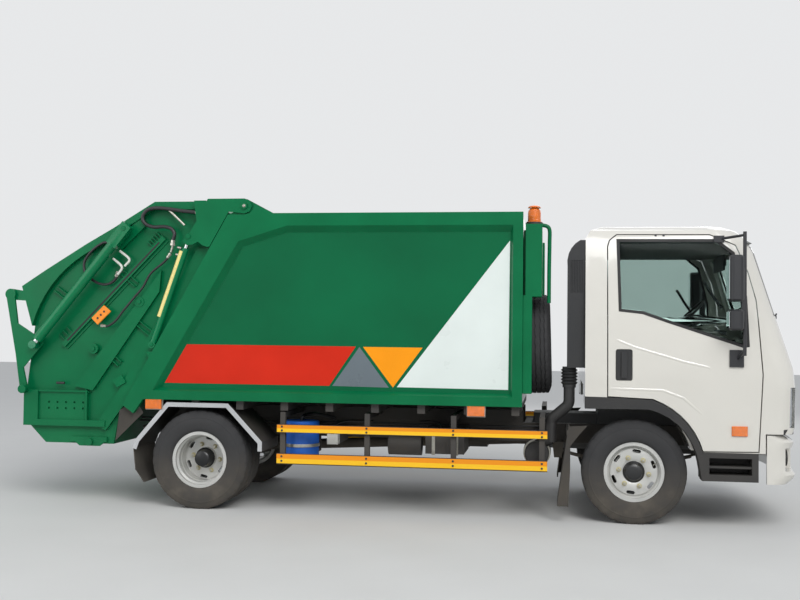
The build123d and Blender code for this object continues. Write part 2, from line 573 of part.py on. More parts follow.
stiffener_half = 24.0
stiffeners = [  # start, end of each pressed channel on the wall
    ((-555.0, 1470.0), (-395.0, 1353.0)), ((-800.0, 1220.0), (-690.0, 1132.0)),
    ((-1000.0, 968.0), (-930.0, 914.0)), ((-692.0, 1876.0), (-560.0, 1770.0)),
    ((-1245.0, 1733.0), (-1160.0, 1670.0)),
]
guide_fins = [  # first place along the guide, spacing, number, near and far edge above the guide
    (15.0, 26.0, 5, 15.0, 78.0), (1085.0, 44.0, 3, 18.0, 92.0),
]
upper_flange = [(10, 2434), (-407, 2434), (-751, 2226), (-980, 2096), (-1317, 1890), (-1531, 1752)]
crescent = bend((-1436.0, 1430.0), (-1322.0, 1693.0), (-999.0, 2011.0), 9)
hole_rows = 2
hole_columns = 5
with BuildPart() as gate_frames:
    for side, y0, y1 in sides(gate_half, frame_half):
        prism(upper_flange + crescent + [(-760, 2150), (-420, 2372), (-12, 2372)], y0, y1)
        # front flange along the seam
        prism([seam(2060, seam_gap), seam(860, seam_gap), (-796, 597), (-880, 640), seam(900, 115),
               seam(2060, 115)], side * gate_half, side * flange_half)
        # guide channel and the wide tapered beam with its two bosses
        strip(guide_start, guide_end, -42, 42, side * gate_half, side * (gate_half + 10))
        strip(guide_start, guide_end, -20, 20, side * gate_half, side * (gate_half + 32))
        prism([(-351, 1882), (-1067, 947), (-913, 915), (-364, 1715)], side * gate_half, side * flange_half)
        for x, z in ((-530, 1631), (-912, 1250)):
            cross_rod(x, z, side * gate_half, side * (flange_half + 6), 40)
            cross_rod(x, z, side * gate_half, side * (flange_half + 16), 17)
        prisms([band(start, end, -stiffener_half, stiffener_half) for start, end in stiffeners],
               side * gate_half, side * (gate_half + 7))
        for edge in (-stiffener_half, stiffener_half - 6):
            prisms([band(start, end, edge, edge + 6) for start, end in stiffeners],
                   side * gate_half, side * (gate_half + 30))
        fins = [band(on_guide(first + spacing * i, near), on_guide(first + spacing * i, far), -3, 3)
                for first, spacing, number, near, far in guide_fins for i in range(number)]
        prisms(fins, side * gate_half, side * (gate_half + 26))
        # clamp plate on the front flange
        prism([(-738, 1000), (-700, 943), (-626, 985), (-664, 1046)], side * flange_half, side * (flange_half + 14))
        # lower side rail, rear column and perforated locker
        block(-1497, -800, side * gate_half, side * (gate_half + 45), 625, 675)
        block(-1497, -1375, side * gate_half, side * (gate_half + 45), 675, 912)
        block(-1375, -956, side * gate_half, side * (gate_half + 24), 675, 912)
        block(-1375, -956, side * (gate_half + 24), side * (gate_half + 40), 898, 912)
        block(-970, -956, side * (gate_half + 24), side * (gate_half + 40), 675, 898)
        with BuildSketch(side_view(side * (gate_half + 24.5))) as locker_holes:
            with Locations((-1142, 790)):
                with GridLocations(73, 49, hole_columns, hole_rows):
                    Circle(9)
        extrude(locker_holes.sketch, amount=side * 14, mode=Mode.SUBTRACT)
        # lock of the hopper's foot with its screw
        block(-1100, -790, side * gate_half, side * (gate_half + 22), 500, 540)
        prism([(-1060, 500), (-1020, 468), (-850, 468), (-810, 500)], side * gate_half, side * (gate_half + 22))
        cross_rod(-935, 500, side * (gate_half + 22), side * (gate_half + 44), 30)
        # hinge ear with the boss of the lift cylinder's pin
        prism([(57, 2446), (357, 2446), (399, 2429), (416, 2387), (399, 2345), (357, 2328), seam(2344, 6),
               seam(2069, 6), (60, 2065), (22, 2076), (-20, 2107), (-60, 2085), (-110, 2079), (-150, 2110),
               (-85, 2180), (1, 2334)], side * ear_inner, side * body_half)
        cross_rod(tailgate_hinge[0], tailgate_hinge[1], side * (body_half - 20), side * (body_half + 10),
                  hinge_pin_radius + running_gap, Mode.SUBTRACT)
        cross_rod(lift_upper_pin[0], lift_upper_pin[1], side * ear_inner, side * (body_half + 8), 20)
        prism([(40, 2434), (-60, 2434), (-40, 2280), (60, 2266)], side * frame_half, side * ear_inner)
        # bin-lift pivot bracket
        prism([(-1426, 1700), (-1617, 1730), (-1661, 1700), (-1655, 1650), (-1600, 1640), (-1426, 1630)],
              side * (frame_half - 25), side * frame_half)
        cross_rod(bin_pivot[0], bin_pivot[1], side * (frame_half - 30), side * (frame_half + 10),
                  30 + running_gap, Mode.SUBTRACT)
        # stub pin of the bin-lift cylinder's upper lug
        cross_rod(bin_upper_pin[0], bin_upper_pin[1], side * (gate_half + 20), side * (bin_y + 42), 18)
        prism([(-743, 2113), (-527, 2315), (-480, 2250), (-690, 2050)], side * gate_half, side * (gate_half + 38))
save(gate_frames, "tailgate_frames")

# Tail lamps on the hopper's rear wall
with BuildPart() as tail_lamps:
    for side, y0, y1 in sides(690, 850):
        block(-1497 - seat_gap, -1519, y0, y1, 655, 735)
save(tail_lamps, "tail_lamps")

# Packing cylinders: barrels fixed along the guides inside the walls
packing_line = 140.0
packing_y = gate_inner - 55
packing_barrel = (690.0, 1340.0)
packing_radius = 38.0
packing_rod = 20.0
with BuildPart() as packing_cylinders:
    for side in (-1, 1):
        a, b = on_guide(packing_barrel[0], packing_line), on_guide(packing_barrel[1], packing_line)
        rod((a[0], side * packing_y, a[1]), (b[0], side * packing_y, b[1]), packing_radius)
        strip(on_guide(1220, packing_line), on_guide(1300, packing_line), -30, 30,
              side * packing_y, side * gate_inner)
        a, b = on_guide(packing_barrel[0] - 10, packing_line), on_guide(packing_barrel[1] - 20, packing_line)
        rod((a[0], side * packing_y, a[1]), (b[0], side * packing_y, b[1]), packing_rod + running_gap,
            Mode.SUBTRACT)
save(packing_cylinders, "packing_cylinders")

# Carriage: cheek plates on slide blocks with the packing plate between them
blade_hinge = on_guide(633.0, -324.0)
cheek_half = gate_inner - 40
with BuildPart() as carriage:
    for side, y0, y1 in sides(cheek_half - 30, cheek_half):
        prism([on_guide(s, n) for s, n in ((60, 25), (560, 25), (690, -300), (680, -370), (600, -375),
                                           (300, -330), (60, -120))], y0, y1)
        for s in (80, 440):
            strip(on_guide(s, 0), on_guide(s + 100, 0), -24, 24, side * cheek_half, side * (gate_inner - 8))
        # arm up to the packing cylinder, and that cylinder's rod
        prism([on_guide(35, -20), on_guide(85, -20), on_guide(85, packing_line + 28),
               on_guide(35, packing_line + 28)], y0, y1)
        a, b = on_guide(60, packing_line), on_guide(packing_barrel[0] + 40, packing_line)
        rod((a[0], side * packing_y, a[1]), (b[0], side * packing_y, b[1]), packing_rod)
    strip(on_guide(120, -330), on_guide(560, -330), -25, 25, 30 - cheek_half, cheek_half - 30)
    strip(on_guide(80, -100), on_guide(160, -100), -40, 40, 30 - cheek_half, cheek_half - 30)
    for y in (-420, -140, 140, 420):
        prism([on_guide(130, -140), on_guide(130, -306), on_guide(540, -306)], y - 6, y + 6)
    cross_rod(blade_hinge[0], blade_hinge[1], -cheek_half - 10, cheek_half + 10, 30)
save(carriage, "carriage")

# Sweep blade: hangs from the carriage, parallel to the seam
blade_length = 520.0
blade_half = gate_inner - 28
blade_dir = (-seam_dir[0], -seam_dir[1])
with BuildPart() as sweep_blade:
    tip = from_pin(blade_hinge, blade_dir, blade_length)
    for side, y0, y1 in sides(700, 740):
        cross_rod(blade_hinge[0], blade_hinge[1], y0, y1, 62)
        strip(blade_hinge, tip, -40, 10, y0, y1)
    strip(from_pin(blade_hinge, blade_dir, 90), tip, -18, 18, -blade_half, blade_half)
    for side in (-1, 1):
        cross_rod(blade_hinge[0], blade_hinge[1], side * 690, side * 750, 30 + running_gap, Mode.SUBTRACT)
save(sweep_blade, "sweep_blade")

# Tailgate lift cylinders
lift_dir = slope(lift_lower_pin, lift_upper_pin)
with BuildPart() as lift_barrels:
    for side in (-1, 1):
        a, b = from_pin(lift_lower_pin, lift_dir, 20), from_pin(lift_lower_pin, lift_dir, 810)
        rod((a[0], side * lift_y, a[1]), (b[0], side * lift_y, b[1]), 27)
        cross_rod(lift_lower_pin[0], lift_lower_pin[1], side * (lift_y - 26), side * (lift_y + 26), 28)
        cross_rod(lift_lower_pin[0], lift_lower_pin[1], side * (lift_y - 32), side * (lift_y + 38),
                  14 + running_gap, Mode.SUBTRACT)
        c, d = from_pin(lift_lower_pin, lift_dir, 50), from_pin(lift_lower_pin, lift_dir, 900)
        rod((c[0], side * lift_y, c[1]), (d[0], side * lift_y, d[1]), 15 + running_gap, Mode.SUBTRACT)
save(lift_barrels, "lift_barrels")
with BuildPart() as lift_rods:
    for side in (-1, 1):
        a, b = from_pin(lift_lower_pin, lift_dir, 60), from_pin(lift_upper_pin, lift_dir, -10)
        rod((a[0], side * lift_y, a[1]), (b[0], side * lift_y, b[1]), 15)
        cross_rod(lift_upper_pin[0], lift_upper_pin[1], side * (lift_y - 22), side * (lift_y + 20), 26)
save(lift_rods, "lift_rods")

# Bin-lift cylinders on the tailgate's outside
bin_dir = slope(bin_upper_pin, bin_rod_pin)
with BuildPart() as bin_barrels:
    for side in (-1, 1):
        a, b = from_pin(bin_upper_pin, bin_dir, 150), from_pin(bin_upper_pin, bin_dir, 1145)
        rod((a[0], side * bin_y, a[1]), (b[0], side * bin_y, b[1]), 40)
        strip(from_pin(bin_upper_pin, bin_dir, -40), from_pin(bin_upper_pin, bin_dir, 170), -44, 44,
              side * (bin_y - 36), side * (bin_y + 36))
        cross_rod(bin_upper_pin[0], bin_upper_pin[1], side * (bin_y - 80), side * (bin_y + 50),
                  18 + running_gap, Mode.SUBTRACT)
        c, d = from_pin(bin_upper_pin, bin_dir, 180), from_pin(bin_upper_pin, bin_dir, 1200)
        rod((c[0], side * bin_y, c[1]), (d[0], side * bin_y, d[1]), 22 + running_gap, Mode.SUBTRACT)
save(bin_barrels, "bin_lift_barrels")
with BuildPart() as bin_rods:
    for side in (-1, 1):
        a, b = from_pin(bin_upper_pin, bin_dir, 600), from_pin(bin_rod_pin, bin_dir, -24)
        rod((a[0], side * bin_y, a[1]), (b[0], side * bin_y, b[1]), 22)
        cross_rod(bin_rod_pin[0], bin_rod_pin[1], side * (bin_y - 38), side * (bin_y + 26), 32)
save(bin_rods, "bin_lift_rods")

# Bin-lift arms on a torque tube behind the tailgate
bin_lower = (-1486.0, 919.0)
arm_y = (frame_half + 5, frame_half + 25)
with BuildPart() as bin_arms:
    cross_rod(bin_pivot[0], bin_pivot[1], -frame_half - 20, frame_half + 20, 30)
    for side, y0, y1 in sides(*arm_y):
        cross_rod(bin_pivot[0], bin_pivot[1], y0, y1, 44)
        prism([(-1655, 1686), (-1585, 1700), (-1500, 1120), (-1455, 930), (-1515, 905), (-1560, 1200)], y0, y1)
        prism([(-1553, 1453), (-1328, 1315), (-1320, 1290), (-1507, 1073), (-1530, 1080)], y0 + side * 8, y1)
        cross_rod(bin_lower[0], bin_lower[1], y0, side * (frame_half + 55), 34)
save(bin_arms, "bin_lift_arms")

# Knuckles, front wheels, rear twin wheels and the tie rod
arm_reach = 150.0
arm_z = axle_z - 66
half_gap = twin_spacing / 2
for side, word in ((-1, "right"), (1, "left")):
    front = (wheelbase, side * front_tyre_y, axle_z)
    with BuildPart() as knuckle:
        for z0, z1 in ((axle_z - 60, axle_z - 38), (axle_z + 38, axle_z + 60)):
            rod((wheelbase, side * kingpin_y, z0), (wheelbase, side * kingpin_y, z1), 40)
            block(wheelbase - 40, wheelbase + 40, side * kingpin_y, side * 756, z0, z1)
        block(wheelbase - 40, wheelbase + 40, side * 738, side * 756, axle_z - 60, axle_z + 60)
        rod((wheelbase, side * kingpin_y, axle_z - 60), (wheelbase, side * kingpin_y, axle_z + 60), kingpin_radius)
        cross_rod(wheelbase, axle_z, side * 750, side * 875, 32)
        arm_x = wheelbase - arm_reach
        block(arm_x, wheelbase, side * kingpin_y - 18, side * kingpin_y + 18, arm_z - 14, arm_z + 6)
        rod((arm_x, side * kingpin_y, arm_z - 14), (arm_x, side * kingpin_y, arm_z + 6), 24)
        rod((arm_x, side * kingpin_y, arm_z - 20), (arm_x, side * kingpin_y, arm_z + 10), 10 + running_gap,
            Mode.SUBTRACT)
    save(knuckle, f"knuckle_{word}")
    with BuildPart() as tyre:
        turned(front, (0, side, 0), tyre_outline)
    save(tyre, f"front_tyre_{word}")
    with BuildPart() as rim:
        turned(front, (0, side, 0), barrel_outline)
        wheel_disc(front, (0, side, 0), 26.0, 44.0)
        # hub with the brake drum behind the disc
        turned(front, (0, side, 0), [(32 + running_gap, -58), (32 + running_gap, 62), (0, 62), (0, 80), (40, 80),
                                     (58, 74), (66, 60), (hub_bore, 46), (hub_bore, 20), (128, -4), (150, -10),
                                     (150, -58)])
    save(rim, f"front_rim_{word}")
    outer = (0.0, side * outer_twin_y, axle_z)
    inner = (0.0, side * (outer_twin_y - twin_spacing), axle_z)
    with BuildPart() as twins:
        turned(outer, (0, side, 0), tyre_outline)
        turned(inner, (0, side, 0), tyre_outline)
    save(twins, f"rear_tyres_{word}")
    with BuildPart() as twin_rims:
        for centre, away in ((outer, -1), (inner, 1)):
            turned(centre, (0, side, 0), barrel_outline)
            wheel_disc(centre, (0, side, 0), away * 30.0, away * (half_gap - 6))
        turned(outer, (0, side, 0), [(0, -half_gap - hub_depth), (0, 20), (46, 20), (60, 12), (72, -60),
                                     (hub_bore, -70), (hub_bore, -half_gap - hub_depth)])
    save(twin_rims, f"rear_rims_{word}")
with BuildPart() as tie_rod:
    arm_x = wheelbase - arm_reach
    z = arm_z - 32
    cross_rod(arm_x, z, -kingpin_y, kingpin_y, 14)
    for side in (-1, 1):
        rod((arm_x, side * kingpin_y, z - 16), (arm_x, side * kingpin_y, z + 16), 22)
    rod((arm_x, kingpin_y, z), (arm_x, kingpin_y, arm_z + 12), 10)
save(tie_rod, "tie_rod")

# Front group: from here on x is measured from the front axle
datum_x = rear_axle_x + wheelbase

# Engine and gearbox, closed inside: one block on feet over the rails' lower flanges
with BuildPart() as engine:
    block(-240, 820, -260, 260, 500, 960)
    for side in (-1, 1):
        for x in (120, 540):
            block(x, x + 80, side * 260, side * (rail_y + 16), rail_top - rail_depth + rail_wall + seat_gap, 600)
    block(-760, -240, -150, 150, 472, 760)
save(engine, "engine")

# Air cleaner with its clamp band, and the intake hose up to the bellows under the cab's duct
cleaner_centre = (-720.0, -700.0, 500.0)
hose_radius = 42.0
duct_x = -480.0
duct_y = -855.0
with BuildPart() as air_cleaner:
    turned(cleaner_centre, (0, 1, 0), [(0, -160), (84, -160), (92, -152), (92, -60), (100, -56), (100, 130),
                                       (88, 140), (0, 140)])
    turned(cleaner_centre, (0, 1, 0), [(99, 20), (106, 20), (106, 60), (99, 60)])
    block(-760, -680, -570, -rail_outer, 560, 640)
    rod((-720, -800, 560), (-615, -820, 610), 40)
    with BuildSketch(Plane(origin=place(-615, -820, 590), z_dir=(0, 0, 1))) as hose:
        Circle(hose_radius)
    with BuildLine() as hose_path:
        FilletPolyline(place(-615, -820, 590), place(-615, -820, 760), place(duct_x, duct_y, 880),
                       place(duct_x, duct_y, 1008), radius=70)
    sweep(sections=hose.sketch, path=hose_path.line)
save(air_cleaner, "air_cleaner")

# Mudguards behind the front wheels
with BuildPart() as front_mudguards:
    for side, y0, y1 in sides(640, body_half - 40):
        strip((-555, 125), (-475, 720), 0, 10, y0, y1)
        block(-498, -476, side * rail_outer, y1, 660, 690)
        prism([(-475, 722), (-345, 730), (-405, 662), (-470, 575), (-470, 400), (-482, 125), (-555, 125)],
              side * (body_half - 46), side * (body_half - 40))
save(front_mudguards, "front_mudguards")

# Oil tank column and bulkhead frame in front of the body
column = (-body_to_axle, -body_to_axle + 18, -body_to_axle + 142)
with BuildPart() as oil_tank:
    block(column[1], column[2], 10 - body_half, 240 - body_half, 1690, 2240)
    block(column[1], column[2], body_half - 300, body_half - 10, 1690, 2240)
    block(column[0], column[1], -body_half + 100, body_half - 100, 1700, 2200)
    block(column[1], column[1] + 52, 10 - body_half, 70 - body_half, 960, 1690)
    block(column[0], column[1], 10 - body_half, 70 - body_half, 960, 1700)
save(oil_tank, "oil_tank")

# Spare wheel leaning in the gap behind the cab
spare_stand = tread_half + 16
spare_centre = (column[1] + seat_gap + spare_stand, -540.0, 1331.0)
spare_axis = (1.0, 0.0, 0.03)
with BuildPart() as spare_tyre:
    turned(spare_centre, spare_axis, tyre_outline)
save(spare_tyre, "spare_tyre")
with BuildPart() as spare_rim:
    turned(spare_centre, spare_axis, barrel_outline)
    wheel_disc(spare_centre, spare_axis, -40.0, -100.0)
save(spare_rim, "spare_rim")

# Front bumper: one curved moulding with a sloped top, a lower lip and the lamp recesses
bumper_rear = 936.0
bumper_half = body_half - 15
bumper_rows = [  # z, front x, corner radius
    (338.0, 1165.0, 150.0), (372.0, 1214.0, 190.0), (404.0, 1228.0, 190.0), (436.0, 1206.0, 190.0),
    (600.0, 1206.0, 190.0), (640.0, 1218.0, 190.0), (692.0, 1128.0, 130.0),
]
bumper_top = bumper_rows[-1][0]
bumper_foot = bumper_rows[0][0]
bumper_bow = 60.0
with BuildPart() as bumper:
    bumper_sections = []
    for z, front_x, corner in bumper_rows:
        with BuildSketch(Plane.XY.offset(z)) as bumper_row:
            front_outline(bumper_rear, front_x, bumper_half, corner, bumper_bow)
        bumper_sections.append(bumper_row.sketch)
    loft(bumper_sections, ruled=True)
    with BuildSketch(Plane.XY.offset(bumper_foot - 1)) as bumper_inside:
        front_outline(bumper_rear - 10, 1170.0, bumper_half - 30, 150.0, bumper_bow)
    extrude(bumper_inside.sketch, amount=636 - bumper_foot, mode=Mode.SUBTRACT)
    block(840, 1172, -700, 700, 620, bumper_top + 5, Mode.SUBTRACT)
    for side in (-1, 1):
        block(1036, 1260, side * 690, side * 945, 430, 598, Mode.SUBTRACT)
    block(1140, 1260, -110, 110, front_tow[1] - 50, front_tow[1] + 50, Mode.SUBTRACT)
    for side in (-1, 1):
        block(rail_front_overhang + seat_gap, 1180, side * (rail_y - 24), side * (rail_y + 24), 560, 612)
save(bumper, "bumper")

# Cab form: sections from the sill to the roof
cab_rows = [  # z, rear x, front x, half width, front corner radius, front bow
    (cab_sill_z, cab_rear_x, 1212.0, 990.0, 150.0, 60.0),
    (1040.0, cab_rear_x, 1220.0, 1000.0, 160.0, 60.0),
    (1180.0, cab_rear_x, 1210.0, 1000.0, 170.0, 65.0),
    (1520.0, cab_rear_x, 1115.0, 990.0, 200.0, 75.0),
    (2030.0, cab_rear_x, 965.0, 948.0, 200.0, 80.0),
    (2130.0, cab_rear_x, 915.0, 932.0, 200.0, 80.0),
    (2195.0, cab_rear_x + 35, 835.0, 895.0, 180.0, 80.0),
    (2228.0, cab_rear_x + 125, 735.0, 820.0, 150.0, 70.0),
    (2238.0, cab_rear_x + 265, 625.0, 700.0, 120.0, 50.0),
]
roof_start = 2100.0
cab_side = body_half + 100


def cab_form(inward, mode=Mode.ADD):
    """Whole form of the cab, drawn in by this much all round and at the roof."""
    sections = []
    for z, rear, front_x, half, corner, bow in cab_rows:
        height = z - inward if z > roof_start else z
        with BuildSketch(Plane.XY.offset(height)) as row:
            front_outline(rear + inward, front_x - inward, half - inward, corner - inward / 2, bow)
        sections.append(row.sketch)
    loft(sections, ruled=True, mode=mode)


def through(outline, x0, x1, shrink=0.0, mode=Mode.ADD):
    """Prism along x with this outline in the front view."""
    with BuildSketch(Plane.YZ.offset(datum_x + x0)) as face:
        with BuildLine():
            Polyline(*outline, close=True)
        make_face()
        if shrink:
            offset(amount=-shrink, kind=Kind.INTERSECTION)
    extrude(face.sketch, amount=x1 - x0, mode=mode)


def face_prism(outline, shrink, side, near, far):
    """Prism across the truck with this outline, drawn in, in the side view."""
    with BuildSketch(side_view(max(side * near, side * far))) as face:
        with BuildLine():
            Polyline(*outline, close=True)
        make_face()
        offset(amount=-shrink, kind=Kind.INTERSECTION)
    extrude(face.sketch, amount=far - near)


arch_outer = [(-204.0, 948.0)] + bend((126.0, 934.0), (340.0, 802.0), (483.0, 560.0), 8)
arch_inner = bend((455.0, 485.0), (327.0, 737.0), (98.0, 863.0), 8) + [(cab_rear_x, 860.0)]
arch_foot = [(500.0, 470.0), (500.0, 352.0), (478.0, 352.0)]
door_outline = arch_outer + [(883.0, 566.0), (910.0, 1132.0), (866.0, 1675.0), (812.0, 1880.0),
                             (725.0, 2082.0), (540.0, 2164.0), (-138.0, 2166.0), (-194.0, 2120.0),
                             (-208.0, 2069.0)]
window_outline = [(-132.0, 2121.0), (586.0, 2119.0), (706.0, 2023.0), (790.0, 1700.0), (806.0, 1339.0),
                  (770.0, 1332.0), (231.0, 1510.0), (52.0, 1573.0), (-115.0, 1591.0)]
windscreen_outline = [(-880.0, 1560.0), (880.0, 1560.0), (845.0, 2075.0), (-845.0, 2075.0)]
rear_window_outline = [(-560.0, 1560.0), (560.0, 1560.0), (560.0, 1980.0), (-560.0, 1980.0)]
floor_z = 905.0
sill_floor_z = 590.0
tunnel_half = 430.0
tunnel_top = 1010.0
floor_sheet = 25.0
lamp_box = (990.0, 560.0, 960.0, 748.0, 1040.0)
grille_x = 1192.0
grille_half = 400.0
grille_low = 790.0
grille_high = 985.0
with BuildPart() as cab_space:
    cab_form(cab_wall)
    prism([(-460, 300), (-460, floor_z), (110, floor_z), (250, 868), (343, 780), (408, 660),
           (460, sill_floor_z), (1340, sill_floor_z), (1340, 300)], -cab_side, cab_side, Mode.SUBTRACT)
    block(-460, 1120, -tunnel_half - floor_sheet, tunnel_half + floor_sheet, 300, tunnel_top + floor_sheet,
          Mode.SUBTRACT)
with BuildPart() as cab_shell:
    cab_form(0)
    add(cab_space.part, mode=Mode.SUBTRACT)
    prism([(-460, 300), (-460, floor_z - floor_sheet), (98, floor_z - floor_sheet), (234, 845), (320, 765),
           (384, 646), (440, 500), (480, 300)], -cab_side, cab_side, Mode.SUBTRACT)
    block(-460, 1175, -tunnel_half, tunnel_half, 300, tunnel_top, Mode.SUBTRACT)
    prism([(926, 300), (926, 702), (1120, 702), (1140, 735), (1340, 735), (1340, 300)], -cab_side, cab_side,
          Mode.SUBTRACT)
    for side in (-1, 1):
        prism([(-460, 300), (-460, 952)] + arch_outer + [(483, 300)], side * 870, side * cab_side, Mode.SUBTRACT)
        prism(door_outline, side * 850, side * cab_side, Mode.SUBTRACT)
        block(1120, 1340, side * 250, side * 390, 700, 765, Mode.SUBTRACT)
        block(lamp_box[0], 1340, side * lamp_box[1], side * lamp_box[2], lamp_box[3], lamp_box[4],
              Mode.SUBTRACT)
    through(windscreen_outline, 790, 1340, mode=Mode.SUBTRACT)
    through(rear_window_outline, -460, -260, mode=Mode.SUBTRACT)
    for side in (-1, 1):
        for near in (275, 345):
            prism([(1152, 702), (1188, 702), (1190, 770), (1186, 1000), (1140, 1000), (1140, 715)],
                  side * near, side * (near + 20))
            cross_rod(cab_tilt_axis[0], cab_tilt_axis[1], side * (near - 5), side * (near + 25),
                      15 + running_gap, Mode.SUBTRACT)
    block(grille_x, 1340, -grille_half, grille_half, grille_low, grille_high, Mode.SUBTRACT)
save(cab_shell, "cab_shell")

# Fixed windows: windscreen and rear window
glass_inset = 12.0
glass_thickness = 5.0
seal_gap = 0.3
with BuildPart() as window_zone:
    through(windscreen_outline, 790, 1340, seal_gap)
    through(rear_window_outline, -460, -260, seal_gap)
with BuildPart() as cab_windows:
    cab_form(glass_inset)
    cab_form(glass_inset + glass_thickness, Mode.SUBTRACT)
    add(window_zone.part, mode=Mode.INTERSECT)
save(cab_windows, "cab_windows")

# Black arch trims, step boxes with their treads, and the slats of the front grille
slat_height = 14.0
slat_count = 6
with BuildPart() as cab_trim:
    for side in (-1, 1):
        prism([(cab_rear_x, 950)] + arch_outer + arch_foot + arch_inner, side * 872, side * 998)
        block(485, 876, side * 740, side * 998, 352, cab_sill_z - seat_gap)
        block(530, 830, side * 840, side * body_half, 400, 520, Mode.SUBTRACT)
        block(520, 840, side * 830, side * 990, 446, 462)
    slat_pitch = (grille_high - grille_low - slat_height) / (slat_count - 1)
    for i in range(slat_count):
        low = grille_low + slat_pitch * i
        with BuildSketch(Plane.XY.offset(low)) as slat:
            edge_x, middle_x = datum_x + grille_x + 2, datum_x + grille_x + 20
            back_x = datum_x + grille_x + seat_gap
            half = grille_half - seat_gap
            with BuildLine():
                ThreePointArc((edge_x, -half), (middle_x, 0), (edge_x, half))
                Polyline((edge_x, half), (back_x, half), (back_x, -half), (edge_x, -half))
            make_face()
        extrude(slat.sketch, amount=slat_height)
save(cab_trim, "cab_trim")

# Head lamps and the two roof lamps
with BuildPart() as lamp_zone:
    for side in (-1, 1):
        block(lamp_box[0], 1340, side * (lamp_box[1] + seal_gap), side * (lamp_box[2] - seal_gap),
              lamp_box[3] + seal_gap, lamp_box[4] - seal_gap)
with BuildPart() as cab_lamps:
    cab_form(0)
    cab_form(30, Mode.SUBTRACT)
    add(lamp_zone.part, mode=Mode.INTERSECT)
    for side, y0, y1 in sides(470, 580):
        prism([(490, 2238 + seal_gap), (600, 2238 + seal_gap), (585, 2254), (515, 2258)], y0, y1)
save(cab_lamps, "cab_lamps")

# Dashboard with column and steering wheel, and the seat bases
wheel_centre = (530.0, 450.0, 1560.0)
column_foot = (830.0, 450.0, 1250.0)
with BuildPart() as dashboard:
    tunnel_face = tunnel_top + floor_sheet
    prism([(770, 1370), (1030, 1390), (1030, 1060), (970, tunnel_face + seat_gap),
           (890, tunnel_face + seat_gap), (830, 1180)], -790, 790)
    rod(column_foot, wheel_centre, 32)
    axis = Vector(*wheel_centre) - Vector(*column_foot)
    turned(wheel_centre, (axis.X, axis.Y, axis.Z), [(197, -6), (197, 6), (203, 12), (212, 12), (218, 6), (218, -6),
                                                    (212, -12), (203, -12)])
    with BuildSketch(Plane(origin=place(*wheel_centre), x_dir=(0, 1, 0), z_dir=axis)) as spokes:
        Rectangle(400, 36)
        Circle(62)
    extrude(spokes.sketch, amount=8, both=True)
    for side in (-1, 1):
        block(-260, 300, side * 180, side * 720, tunnel_face, 1090)
        block(-260, 300, side * 470, side * 720, floor_z, tunnel_face)
save(dashboard, "dashboard")

# Seats: cushions and backs
with BuildPart() as seats:
    for side in (-1, 1):
        prism([(-170, 1090.3), (330, 1090.3), (350, 1190), (300, 1220), (-130, 1200)], side * 170, side * 700)
        prism([(-260, 1090.3), (-175, 1090.3), (-135, 1230), (-230, 1760), (-300, 1760), (-305, 1200)],
              side * 170, side * 700)
save(seats, "seats")

# Air duct on the cab's rear corner, with its louvres and the bellows at its foot
duct_foot = 1160.0
duct_top = 2121.0
duct_front = cab_rear_x - seat_gap
duct_rear = duct_front - 132
louvre_count = 8
with BuildPart() as air_duct:
    prism([(duct_front, duct_foot), (duct_front, duct_top)]
          + bend((duct_front - 40, duct_top), (duct_rear + 26, duct_top - 62), (duct_rear, duct_top - 190), 6)
          + [(duct_rear, duct_foot)], duct_y - 75, duct_y + 75)
    for side in (-1, 1):
        for i in range(louvre_count):
            x = duct_rear + 22 + i * 12
            block(x, x + 6, duct_y + side * 69, duct_y + side * 76, 1724, 1969, Mode.SUBTRACT)
    bellows = [(0, duct_foot + 5), (52, duct_foot + 5), (52, duct_foot)]
    folds = 5
    for i in range(folds):
        z = duct_foot - 20 - i * 24
        bellows += [(50, z + 12), (64, z)]
    bellows += [(50, 1030), (50, 1008 + seat_gap), (0, 1008 + seat_gap)]
    turned((duct_x, duct_y, 0), (0, 0, 1), bellows)
save(air_duct, "air_duct")

